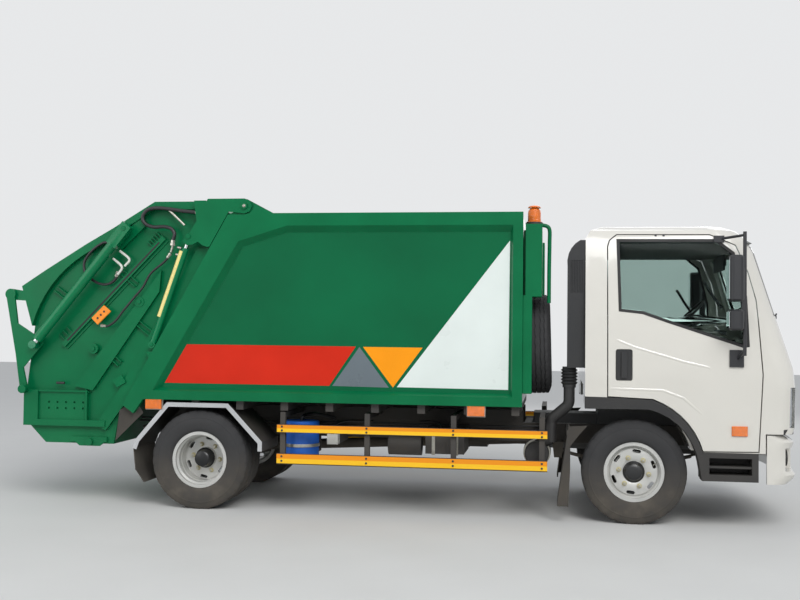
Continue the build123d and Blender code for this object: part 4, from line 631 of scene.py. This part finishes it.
for side, word in SIDES:
    bm = bmesh.new()
    add_prism(bm, band(FENDER_LINE, -35), side * 975.2, side * 978)
    piece(f"fender_strip_{word}", bm, "truck", "sheet_black", "alloy_strip", 0.8)
    bm = bmesh.new()
    inner_y = side * 958
    for x in (-365, 2185):
        add_loft(bm, [(776, x - 70, x + 70, inner_y, side * 981), (866, x - 73, x + 73, inner_y, side * 984),
                      (888, x - 60, x + 60, inner_y, side * 970)])
    piece(f"marker_housings_{word}", bm, "truck", "lamp_amber", "housing_grey", 4.0, 3)
    bm = bmesh.new()
    for z in (380, 458.5, 625, 683.5):
        add_box(bm, 638, 2722, side * 957, side * 986, z - 0.5, z + 2)
    for x in (680, 1346.7, 2013.3, 2680):
        for z in (405, 440, 640, 670):
            add_bolt(bm, (x, side * 985, z), (0, side, 0), 9)
    piece(f"rail_edges_{word}", bm, "truck", "guard_yellow", "sheet_black", 0.6)

# Beacon: black foot and rounded cap
bm = bmesh.new()
add_turned(bm, [(0, 0), (66, 0), (66, 14), (61, 20), (0, 20)], (2610, -880, 2240.3), (0, 0, 1), 40)
piece("beacon_foot", bm, "truck", "lamp_amber", "black_plastic", 1.5)
bm = bmesh.new()
add_turned(bm, [(0, 0), (50, 0), (48, 6), (42, 12), (30, 17), (14, 20), (0, 21)],
           (2610, -880, 2370.2), (0, 0, 1), 40)
piece("beacon_cap", bm, "truck", "lamp_amber", smooth=60.0)

# Chassis equipment: straps, latches, hoses and pipes
bm = bmesh.new()
for x in (1830, 2010):
    add_box(bm, x, x + 26, -800.2, -804, 462, 668)
    add_box(bm, x + 3, x + 23, -812, -803, 560, 615)
add_disc(bm, 104, 26, (2640, -775, 500), (0, 1, 0), 56)
for z in (500, 620):
    add_disc(bm, 149, 24, (776, -740, z), (0, 0, 1), 56)
piece("equipment_straps", bm, "truck", "equipment_mixed", "steel_bare", 0.8)
bm = bmesh.new()
for y, z in ((402, 660), (418, 640), (-402, 660), (-418, 636)):
    add_hose(bm, [(x, y, z + sag) for x, sag in
                  ((-900, 0), (-300, 6), (400, -4), (1200, 5), (2200, 0), (2760, 8))], 7, 10, 10)
add_hose(bm, [(1037, -770, 600), (1040, -740, 660), (1100, -600, 690), (1300, -440, 680)], 11)
add_hose(bm, [(776, -740, 700), (790, -730, 735), (850, -600, 745), (980, -430, 700)], 14)
add_hose(bm, [(1900, -700, 660), (1850, -620, 700), (1700, -450, 690)], 9)
piece("frame_hoses", bm, "truck", "black_plastic", "hose_black", smooth=60.0)
bm = bmesh.new()
add_hose(bm, [(x, -900, z) for x, z in
              ((2600, 2233), (2672, 2236), (2722, 2210), (2726, 2100), (2724, 1900), (2724, 1645))], 15)
piece("front_pipe", bm, "truck", "body_green", smooth=60.0)

# Tailgate: hoses and pipes of the cylinders
MAIN_HOSE = [(-16, 2341), (-162, 2356), (-276, 2372), (-391, 2381), (-464, 2364), (-501, 2310), (-478, 2256),
             (-404, 2229), (-323, 2232), (-260, 2215), (-232, 2174), (-242, 2127), (-246, 2080)]
THIN_HOSE = [(-266, 2019), (-317, 1952), (-430, 1858), (-493, 1749), (-573, 1655), (-654, 1559), (-718, 1478),
             (-783, 1434), (-841, 1436)]
CYLINDER_HOSE = [(-727, 2117), (-785, 2110), (-844, 2103), (-926, 2049), (-991, 1967), (-998, 1899),
                 (-972, 1844), (-887, 1783), (-803, 1770), (-738, 1804), (-706, 1872)]
HOSES = [  # line, y, radius, radius of the fittings
    (MAIN_HOSE, 947, 15, 21),
    (THIN_HOSE, 936, 9, 14),
    (CYLINDER_HOSE, 926, 11, 17),
]
WHITE_PIPES = [[(-748, 1978), (-673, 1910), (-705, 1849)], [(-692, 2039), (-611, 1971), (-648, 1917)]]
STEEL_PIPES = [[(-232, 2174), (-242, 2100), (-262, 2026)], [(-284, 2365), (-217, 2304), (-151, 2243)]]
MARKER_BOX = [(-867, 1443), (-756, 1552), (-817, 1602), (-921, 1497)]
TAPE_RADII = (27.9, 26.8)
TAPE_LINE = [(-155 - 177 * (i / 20), 2034 - 522 * (i / 20)) for i in range(21)]
ACROSS_BARREL = (0.9469, -0.3215)


def at_side(line, y):
    return [(x, y, z) for x, z in line]


for side, word in SIDES:
    bm = bmesh.new()
    for line, y, radius, _ in HOSES:
        add_hose(bm, at_side(line, side * y), radius, 6)
    piece(f"tailgate_hoses_{word}", bm, "tailgate", "black_plastic", "hose_black", smooth=60.0)
    bm = bmesh.new()
    for line in STEEL_PIPES:
        add_hose(bm, at_side(line, side * 941), 10, 6)
    for line, y, _, radius in HOSES:
        neck = radius * 0.86
        for (x0, z0), (x1, z1) in ((line[0], line[1]), (line[-1], line[-2])):
            reach = 44 / hypot(x1 - x0, z1 - z0)
            add_turned(bm, [(0, 0), (radius, 0), (radius, 18), (neck, 22), (neck, 44), (0, 44)],
                       (x0, side * y, z0), ((x1 - x0) * reach, 0, (z1 - z0) * reach), 6)
    piece(f"tailgate_fittings_{word}", bm, "tailgate", "body_green", "steel_bare", 1.0)
    bm = bmesh.new()
    for line in WHITE_PIPES:
        add_hose(bm, at_side(line, side * 938), 10, 6)
    piece(f"tailgate_pipes_{word}", bm, "tailgate", "body_green", "plate_white", smooth=60.0)
    bm = bmesh.new()
    add_prism(bm, MARKER_BOX, side * 931, side * 945)
    piece(f"marker_box_{word}", bm, "tailgate", "lamp_amber", "orange_case", 4.0, 3)
    bm = bmesh.new()
    for share in (0.25, 0.5, 0.75):
        add_disc(bm, 9, 2, (-894 + 108 * share, side * 944.6, 1470 + 107 * share), (0, side, 0))
    add_tube(bm, (-1215, side * 925, 971), (-1147, side * 925, 971), 10)
    piece(f"marker_dots_{word}", bm, "tailgate", "black_plastic", width=0.8)
    bm = bmesh.new()
    add_box(bm, -1511, -1497.5, side * 682, side * 858, 647, 743)
    piece(f"tail_lamp_frame_{word}", bm, "tailgate", "black_plastic", width=2.0)

    # Fittings and the banded tape on the lift cylinders
    bm = bmesh.new()
    for z_hose, x_hose, x_barrel, z_barrel in ((2066, -201, -168, 2058), (2010, -214, -186, 2006)):
        add_tube(bm, (x_hose, side * 955, z_hose), (x_barrel, side * 958, z_barrel), 10)
    piece(f"lift_ports_{word}", bm, "lift_barrels", "hydraulic_green", "steel_bare", 1.0)
    grids = []
    for radius in TAPE_RADII:
        turns = [(radius * cos(radians(turn)), radius * sin(radians(turn))) for turn in range(-55, 56, 11)]
        grids.append([[(x + across * ACROSS_BARREL[0], side * (962 + out), z + across * ACROSS_BARREL[1])
                       for out, across in turns] for x, z in TAPE_LINE])
    bm = bmesh.new()
    add_grid(bm, *grids)
    piece(f"cylinder_tape_{word}", bm, "lift_barrels", "hydraulic_green", "tape_yellow", smooth=60.0)

    # Bolt of the hinge pin, and a dark strip of painted shade along the groove of the guide
    bm = bmesh.new()
    add_bolt(bm, (357, side * 1014, 2387), (0, side, 0), 14)
    piece(f"hinge_bolt_{word}", bm, "tailgate", "body_green", "steel_bare", 0.6)
    # Painted shade: a thin dark strip along the guide's groove, standing in for the shade there
    bm = bmesh.new()
    ux, uz = slope((-334, 2149), (-1175, 1274))
    corners = ((-372, 2109, -7), (-372, 2109, 7), (-1137, 1314, 7), (-1137, 1314, -7))
    add_prism(bm, [(x - uz * w, z + ux * w) for x, z, w in corners], side * 911, side * 912.8)
    piece(f"guide_shade_strip_{word}", bm, "tailgate", "body_green", "seal_rubber")
bm = bmesh.new()
add_box(bm, -1502, -1497.3, -165, 165, 690, 800)
piece("rear_plate", bm, "tailgate", "body_green", "plate_white", 1.5)

# Cab form, with x from the front axle: z, front, half width, corner and bow of its rows
FRONT_X = WHEELBASE
SKIN_STEP = 45
CAB_ROWS = [(560, 1212, 990, 150, 60), (1040, 1220, 1000, 160, 60), (1180, 1210, 1000, 170, 65),
            (1520, 1115, 990, 200, 75), (2030, 965, 948, 200, 80), (2130, 915, 932, 200, 80),
            (2195, 835, 895, 180, 80), (2228, 735, 820, 150, 70), (2238, 625, 700, 120, 50)]


def cab_outline(points):
    return [(FRONT_X + x, z) for x, z in points]


def add_cab_box(bm, side, x0, x1, y0, y1, z0, z1):
    """Adds a box on one side of the cab, with x from the front axle."""
    add_box(bm, FRONT_X + x0, FRONT_X + x1, side * y0, side * y1, z0, z1)


def row_at(z):
    for low_row, high_row in zip(CAB_ROWS, CAB_ROWS[1:]):
        if z <= high_row[0]:
            break
    share = (z - low_row[0]) / (high_row[0] - low_row[0])
    return [a + (b - a) * share for a, b in zip(low_row, high_row)]


def skin_y(z):
    return row_at(z)[2]


def on_cab(z, y, out):
    """Point of the cab's front at this height and width, moved outward."""
    _, front, half, corner, bow = row_at(z)
    reach = half - corner
    if abs(y) <= reach:
        return FRONT_X + front - bow * (y / reach) ** 2 + out, y, z
    angle = asin(min(1.0, (abs(y) - reach) / corner))
    x = front - bow - corner + (corner + out) * cos(angle)
    return FRONT_X + x, copysign(reach + (corner + out) * sin(angle), y), z


def skin_steps(start, end):
    """Number of steps that a line on the cab's side is cut into, to follow its curve."""
    return max(1, round(hypot(end[0] - start[0], end[1] - start[1]) / SKIN_STEP))


def add_front_sheet(bm, widths, heights, outer, inner, lift=0):
    """Adds a sheet on the cab's front, with its border lifted outward."""
    grids = []
    for out in (outer, inner):
        grid = []
        for z in heights:
            borders = [z in (heights[0], heights[-1]) or y in (widths[0], widths[-1]) for y in widths]
            grid.append([on_cab(z, y, out + lift * border) for y, border in zip(widths, borders)])
        grids.append(grid)
    add_grid(bm, *grids)


def add_side_ring(bm, outline, outer_gap, inner_gap, side, high, low):
    """Adds a ring along an outline on the cab's side, between two insets of it."""
    outer = inset(outline, [outer_gap] * len(outline))
    inner = inset(outline, [inner_gap] * len(outline))
    loops = []
    for a, b, c, d in zip(outer, outer[1:] + outer[:1], inner, inner[1:] + inner[:1]):
        count = skin_steps(a, b)
        for i in range(count):
            (ox, oz), (ix, iz) = between(a, b, i / count), between(c, d, i / count)
            corners = ((ox, oz, high), (ix, iz, high), (ix, iz, low), (ox, oz, low))
            loops.append([bm.verts.new(at(FRONT_X + x, side * (skin_y(z) + out), z))
                          for x, z, out in corners])
    join_rings(bm, loops, -1, closed=True)


def add_ridge(bm, line, side, half_width, height):
    """Adds a low rounded ridge along a line on the cab's side."""
    path = []
    for start, end in zip(line, line[1:]):
        count = skin_steps(start, end)
        path += [between(start, end, i / count) for i in range(count)]
    path.append(line[-1])
    sections = []
    for i, (x, z) in enumerate(path):
        ux, uz = slope(path[max(i - 1, 0)], path[min(i + 1, len(path) - 1)])
        top = height * min(1.0, (min(i, len(path) - 1 - i) + 0.3) / 2)
        section = []
        for across, out in ((-1.0, -1.5), (-0.5, 0.7 * top), (0.0, top), (0.5, 0.7 * top), (1.0, -1.5)):
            px, pz = x - uz * half_width * across, z + ux * half_width * across
            section.append(bm.verts.new(at(px, side * (skin_y(pz) + out), pz)))
        sections.append(section)
    join_rings(bm, sections, -1)
    bm.faces.new(sections[0])
    bm.faces.new(sections[-1][::-1])


# Lines on the cab's side, with x of the window and the door card from the front axle
WINDOW = [(-132, 2121), (586, 2119), (706, 2023), (790, 1700), (806, 1339), (770, 1332), (231, 1510),
          (52, 1573), (-115, 1591)]
UPPER_CREASE = [(3224, 1372), (3348, 1322), (3707, 1218), (3891, 1177)]
LOWER_CREASE = [(3175, 1012), (3557, 1005), (3707, 951), (3843, 833)]
DOOR_CARD = [(-150, 960), (830, 960), (830, 1140), (780, 1300), (230, 1470), (60, 1535), (-90, 1550)]
DOOR_HANDLE = [(-142, -22, 985.2, 988, 1073, 1303), (-102, -60, 990, 1003, 1092, 1284),
               (-96, -66, 986, 992, 1092, 1118), (-96, -66, 986, 992, 1258, 1284)]
for side, word in SIDES:
    door = f"door_{word}"
    bm = bmesh.new()
    add_side_ring(bm, WINDOW[::-1], -7, 15, side, 2.2, -9)
    piece(f"window_seal_{word}", bm, door, "black_plastic", "seal_rubber", smooth=50.0)
    bm = bmesh.new()
    add_ridge(bm, UPPER_CREASE, side, 13, 3.0)
    add_ridge(bm, LOWER_CREASE, side, 13, 3.0)
    piece(f"door_creases_{word}", bm, door, "cab_white", smooth=60.0)
    bm = bmesh.new()
    for box in DOOR_HANDLE:
        add_cab_box(bm, side, *box)
    piece(f"door_handle_{word}", bm, door, "black_plastic", width=3.0, segments=3)
    bm = bmesh.new()
    add_cab_box(bm, side, 687, 799, skin_y(720) - 4, skin_y(720) + 12, 683, 756)
    piece(f"side_indicator_{word}", bm, door, "lamp_amber", width=5.0, segments=3)
    bm = bmesh.new()
    add_prism(bm, cab_outline(DOOR_CARD), side * 936, side * 950)
    add_cab_box(bm, side, -40, 560, 880, 938, 1170, 1225)
    piece(f"door_card_{word}", bm, door, "interior_grey", width=7.0, segments=3)
    bm = bmesh.new()
    add_cab_box(bm, side, 640.8, 644, 1036, 1180, 1676, 1976)
    add_cab_box(bm, side, 640.8, 644, 1036, 1175, 1468, 1586)
    piece(f"mirror_glass_{word}", bm, door, "mirror_black", "mirror_glass", 1.0)
    bm = bmesh.new()
    for x in (3509, 3567):
        add_disc(bm, 9, 9, (x, side * (skin_y(2152) - 5), 2152), (0, side, 0.45), 24)
    piece(f"roof_screws_{word}", bm, "cab", "black_plastic", width=1.0)

    # Headlamp: black bowl, two reflectors and the amber turn lamp behind the clear cover
    bm = bmesh.new()
    widths = [side * y for y in (566, 572, 640, 700, 770, 840, 900, 935, 950)]
    add_front_sheet(bm, widths, [754, 762, 830, 890, 950, 1000, 1027, 1034], -88, -92, 57)
    piece(f"headlamp_bowl_{word}", bm, "cab", "black_plastic", smooth=40.0)
    bm = bmesh.new()
    for y, z, radius in ((650, 900, 78), (815, 900, 82)):
        centre = (on_cab(z, side * y, 0)[0] - 86, side * y, z)
        axis = (1, side * 0.16, 0)
        add_turned(bm, [(0, 0), (radius * 0.3, 2), (radius * 0.6, 10), (radius * 0.86, 24), (radius, 44),
                        (radius + 4, 44), (radius + 4, -6), (0, -6)], centre, axis, 48)
        add_turned(bm, [(0, 0), (9, 0), (9, 22), (5, 26), (0, 27)], centre, axis, 20)
    piece(f"headlamp_reflectors_{word}", bm, "cab", "lamp_clear", "lamp_chrome", smooth=40.0)
    bm = bmesh.new()
    widths = [side * y for y in (893, 904, 914, 922)]
    add_front_sheet(bm, widths, [770, 800, 860, 920, 980, 1020], -50, -56)
    piece(f"turn_lamp_{word}", bm, "cab", "lamp_amber", smooth=40.0)
    bm = bmesh.new()
    widths = [side * y for y in (925, 936, 946, 955, 959)]
    add_front_sheet(bm, widths, [750, 800, 860, 920, 980, 1020, 1038], -32, -36)
    piece(f"lamp_bezel_{word}", bm, "cab", "black_plastic", smooth=40.0)

    # Fog lamps in the recess of the bumper
    bm = bmesh.new()
    add_cab_box(bm, side, 1018, 1034, 684, 930, 432, 596)
    piece(f"fog_liner_{word}", bm, "truck", "black_plastic", width=3.0)
    bm = bmesh.new()
    add_cab_box(bm, side, 1034, 1070, 920, 928, 434, 594)
    for y, radius, depth in ((775, 60, 78), (875, 36, 38)):
        add_turned(bm, [(0, 0), (radius, 0), (radius, depth), (radius - 5, depth), (radius - 5, depth * 0.5),
                        (0, depth * 0.5)], (FRONT_X + 1034, side * y, 514), (1, 0, 0), 40)
    piece(f"fog_lamp_housing_{word}", bm, "truck", "black_plastic", width=1.0)
    bm = bmesh.new()
    for y, radius, depth in ((775, 54, 78), (875, 30, 38)):
        profile = [(0, 0.55), (radius * 0.5, 0.6), (radius, 0.9), (radius, 0.5), (0, 0.48)]
        add_turned(bm, [(r, depth * share) for r, share in profile],
                   (FRONT_X + 1034, side * y, 514), (1, 0, 0), 40)
    piece(f"fog_lamp_{word}", bm, "truck", "lamp_clear", "lamp_chrome", smooth=40.0)

# Cab front: band under the lamps, windscreen border and wipers
bm = bmesh.new()
for side in (-1, 1):
    add_front_sheet(bm, [side * (540 + 40 * i) for i in range(11)], [699, 712, 726, 738], -7, -20)
    add_prism(bm, cab_outline([(930, 700), (1060, 700), (1080, 738), (930, 728)]), side * 970, side * 985)
piece("front_band", bm, "cab", "black_plastic", smooth=40.0)
bm = bmesh.new()
border_widths = [-872 + 43.6 * i for i in range(41)]
add_front_sheet(bm, border_widths, [1562, 1580, 1600, 1622], -1, -5)
add_front_sheet(bm, [w * 0.955 for w in border_widths], [2030, 2040, 2050, 2070], -1, -5)
for side in (-1, 1):
    grids = [[[on_cab(z, side * (880 - (z - 1560) * 35 / 515 - inward), out) for inward in (10, 26, 42)]
              for z in range(1566, 2070, 42)] for out in (-1, -5)]
    add_grid(bm, *grids)
piece("windscreen_border", bm, "cab", "window_glass", "frit_black", smooth=40.0)
bm = bmesh.new()
for pivot_y, tip_y in ((90, -790), (640, -240)):
    arm = ((1500, pivot_y, 8), (1508, pivot_y - 60, 26), (1545, (pivot_y + tip_y) / 2, 26),
           (1572, tip_y + 250, 20))
    add_hose(bm, [on_cab(*place) for place in arm], 7, 8, 10)
    add_hose(bm, [on_cab(1578 - 30 * i / 7, tip_y + 90 * i - 20, 14) for i in range(8)], 6, 4, 8)
    pivot = on_cab(1500, pivot_y, -2)
    add_turned(bm, [(0, 0), (20, 0), (20, 24), (14, 30), (0, 30)], pivot, (1, 0, 0.25), 28)
piece("wipers", bm, "cab", "black_plastic", smooth=60.0)

# Cab interior: roof lining, visors, gauges, gear lever and grab handles
LINING = [(2096, -320, 850, 888), (2120, -320, 810, 870), (2150, -300, 760, 800)]  # z, x, x, half width
GRAB_HANDLE = [(3990, 905, 1622), (3976, 880, 1640), (3925, 872, 1715), (3875, 866, 1798), (3866, 886, 1812)]
bm = bmesh.new()
add_loft(bm, [(z, FRONT_X + x0, FRONT_X + x1, -y, y) for z, x0, x1, y in LINING])
piece("roof_lining", bm, "cab", "interior_grey", "headliner", 6.0, 3)
bm = bmesh.new()
for side in (-1, 1):
    add_cab_box(bm, side, 800, 816, 140, 700, 1960, 2092)
add_prism(bm, cab_outline([(745, 1368), (850, 1376), (850, 1450), (800, 1462), (735, 1390)]), 270, 630)
piece("visors_and_gauges", bm, "cab", "interior_grey", width=6.0, segments=3)
bm = bmesh.new()
add_hose(bm, [(3830, 60, 1000), (3825, 60, 1120), (3790, 70, 1260), (3780, 72, 1330)], 9, 8, 12)
add_turned(bm, [(0, 0), (16, 4), (26, 18), (28, 34), (22, 50), (10, 58), (0, 60)],
           (3780, 72, 1322), (0, 0, 1), 28)
for side in (-1, 1):
    add_hose(bm, [(x, side * y, z) for x, y, z in GRAB_HANDLE], 12, 8, 14)
piece("levers_and_handles", bm, "cab", "black_plastic", smooth=60.0)

# Seats: padded cushions and backs, swollen by a cloth simulation
PAD_VOXEL = 0.010
PAD_CAP = 0.016
PAD_INSET = 14.0
PAD_PRESSURE = 4.0
CLOTH_FRAMES = 20
SEAT_MIDDLE_Y = 435
CHANNEL_REACH_Y = 225
CHANNEL_PITCH = 130
CHANNEL_HALF_WIDTH = 16
CHANNEL_DEPTH = 0.006
CUSHION_SIDE_Z = 1150
PADS = [  # name, outline (x from the front axle, z), direction of the sewn channels
    ("cushion", [(-165, 1092), (330, 1092), (348, 1190), (300, 1218), (-125, 1199)], "across"),
    ("back", [(-258, 1100), (-184, 1100), (-140, 1235), (-232, 1755), (-296, 1755), (-303, 1205)], "down"),
]


def swell(thing):
    """Fills a pad with air under its cloth and keeps how far each point has moved within the cap."""
    rest = [vertex.co.copy() for vertex in thing.data.vertices]
    cloth = thing.modifiers.new("cloth", "CLOTH")
    cloth.settings.use_pressure = True
    cloth.settings.uniform_pressure_force = PAD_PRESSURE
    cloth.settings.effector_weights.gravity = 0.0
    for step in range(1, CLOTH_FRAMES + 1):
        bpy.context.scene.frame_set(step)
    graph = bpy.context.evaluated_depsgraph_get()
    blown = [vertex.co.copy() for vertex in thing.evaluated_get(graph).data.vertices]
    thing.modifiers.remove(cloth)
    bpy.context.scene.frame_set(1)
    for vertex, start, end in zip(thing.data.vertices, rest, blown):
        move = end - start
        if move.length > PAD_CAP:
            move *= PAD_CAP / move.length
        vertex.co = start + move


def press_channels(mesh, channels):
    """Presses the sewn channels into a pad."""
    for vertex in mesh.vertices:
        x = vertex.co.x / MM - REAR_AXLE_X - FRONT_X
        y = vertex.co.y / MM
        z = vertex.co.z / MM
        place = (x + 60) / CHANNEL_PITCH if channels == "across" else (z - 1250) / CHANNEL_PITCH
        off = abs(place - round(place)) * CHANNEL_PITCH
        padded = channels == "down" or z > CUSHION_SIDE_Z
        if off < CHANNEL_HALF_WIDTH and padded and abs(abs(y) - SEAT_MIDDLE_Y) < CHANNEL_REACH_Y:
            depth = CHANNEL_DEPTH * (1 - off / CHANNEL_HALF_WIDTH) ** 2
            vertex.co += Vector((0, 0, -depth)) if channels == "across" else Vector((-depth, 0, 0))


for side, word in SIDES:
    for name, outline, channels in PADS:
        bm = bmesh.new()
        small = inset(outline, [PAD_INSET if channels == "down" or i else 2.0 for i in range(len(outline))])
        add_prism(bm, cab_outline(small), side * (170 + PAD_INSET), side * (700 - PAD_INSET))
        pad = piece(f"seat_{name}_{word}", bm, "cab", "seat_fabric")
        remesh = pad.modifiers.new("remesh", "REMESH")
        remesh.mode = "VOXEL"
        remesh.voxel_size = PAD_VOXEL
        graph = bpy.context.evaluated_depsgraph_get()
        even = bpy.data.meshes.new_from_object(pad.evaluated_get(graph))
        pad.modifiers.clear()
        pad.data = even
        swell(pad)
        press_channels(pad.data, channels)
        pad.data.shade_smooth()
        rounder = pad.modifiers.new("round", "SUBSURF")
        rounder.levels = 1
        rounder.render_levels = 1
        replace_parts(pad, "seats")

# Studio: pale floor, soft lamps and the camera
FLOOR_HALF = 30.0
LAMPS = [  # name, place, aim, size, watts
    ("key", (3.5, -8.5, 6.5), (0.0, 0.0, 1.0), 4.5, 330.0),
    ("fill", (-7.0, -6.0, 4.0), (0.0, 0.0, 1.2), 6.0, 200.0),
    ("back", (3.0, 9.0, 6.0), (0.0, 0.0, 1.2), 6.0, 140.0),
]
SKY_DIRECTION = (-0.30, 0.66, -0.68)
WORLD_LIGHT = (0.34, 0.36, 0.40, 1.0)
WORLD_SEEN = (0.80, 0.81, 0.82, 1.0)
CAMERA_PLACE = (2776.0, -8874.0, 1424.0)
CAMERA_TURN = (8.51, 1.68, 0.64)
CAMERA_LENS = 46.9


def aim_along(holder, direction):
    holder.rotation_euler = Vector(direction).to_track_quat("-Z", "Y").to_euler()


def studio():
    floor = bpy.data.meshes.new("floor")
    corners = [(x * FLOOR_HALF, y * FLOOR_HALF, 0) for x, y in ((-1, -1), (1, -1), (1, 1), (-1, 1))]
    floor.from_pydata(corners, [], [(0, 1, 2, 3)])
    thing = add_object("floor", floor)
    floor.materials.append(surface("floor_concrete", (214, 214, 211), 0.85, mottle=0.02, grain=1.5, bump=0.1,
                                   bump_scale=60.0))
    world = bpy.data.worlds.new("studio")
    bpy.context.scene.world = world
    world.use_nodes = True
    tree = world.node_tree
    rays = add_node(tree, "ShaderNodeLightPath").outputs
    seen = calculate(tree, "MAXIMUM", rays["Is Camera Ray"], rays["Is Glossy Ray"])
    seen = calculate(tree, "MAXIMUM", seen, rays["Is Transmission Ray"])
    tree.links.new(mix_colour(tree, seen, WORLD_LIGHT, WORLD_SEEN), tree.nodes["Background"].inputs["Color"])
    for name, place, aim, size, watts in LAMPS:
        lamp = bpy.data.lights.new(name, "AREA")
        lamp.shape = "SQUARE"
        lamp.size = size
        lamp.energy = watts
        holder = add_object(name, lamp)
        holder.location = place
        aim_along(holder, Vector(aim) - Vector(place))
    sky = bpy.data.lights.new("sky", "SUN")
    sky.energy = 1.05
    sky.angle = radians(35)
    aim_along(add_object("sky", sky), SKY_DIRECTION)


def camera():
    """The photograph's view: from the truck's right, a little behind the front wheel."""
    yaw, pitch, roll = (radians(turn) for turn in CAMERA_TURN)
    forward = Vector((-sin(yaw) * cos(pitch), cos(yaw) * cos(pitch), sin(pitch)))
    right = Vector((cos(yaw), sin(yaw), 0.0))
    up = right.cross(forward)
    rolled_right = right * cos(roll) + up * sin(roll)
    rolled_up = up * cos(roll) - right * sin(roll)
    data = bpy.data.cameras.new("camera")
    data.sensor_width = 36.0
    data.lens = CAMERA_LENS
    holder = add_object("camera", data)
    turn = Matrix((rolled_right, rolled_up, -forward)).transposed().to_4x4()
    holder.matrix_world = Matrix.Translation(at(*CAMERA_PLACE)) @ turn
    bpy.context.scene.camera = holder


studio()
camera()
bpy.context.scene.view_settings.view_transform = "Standard"
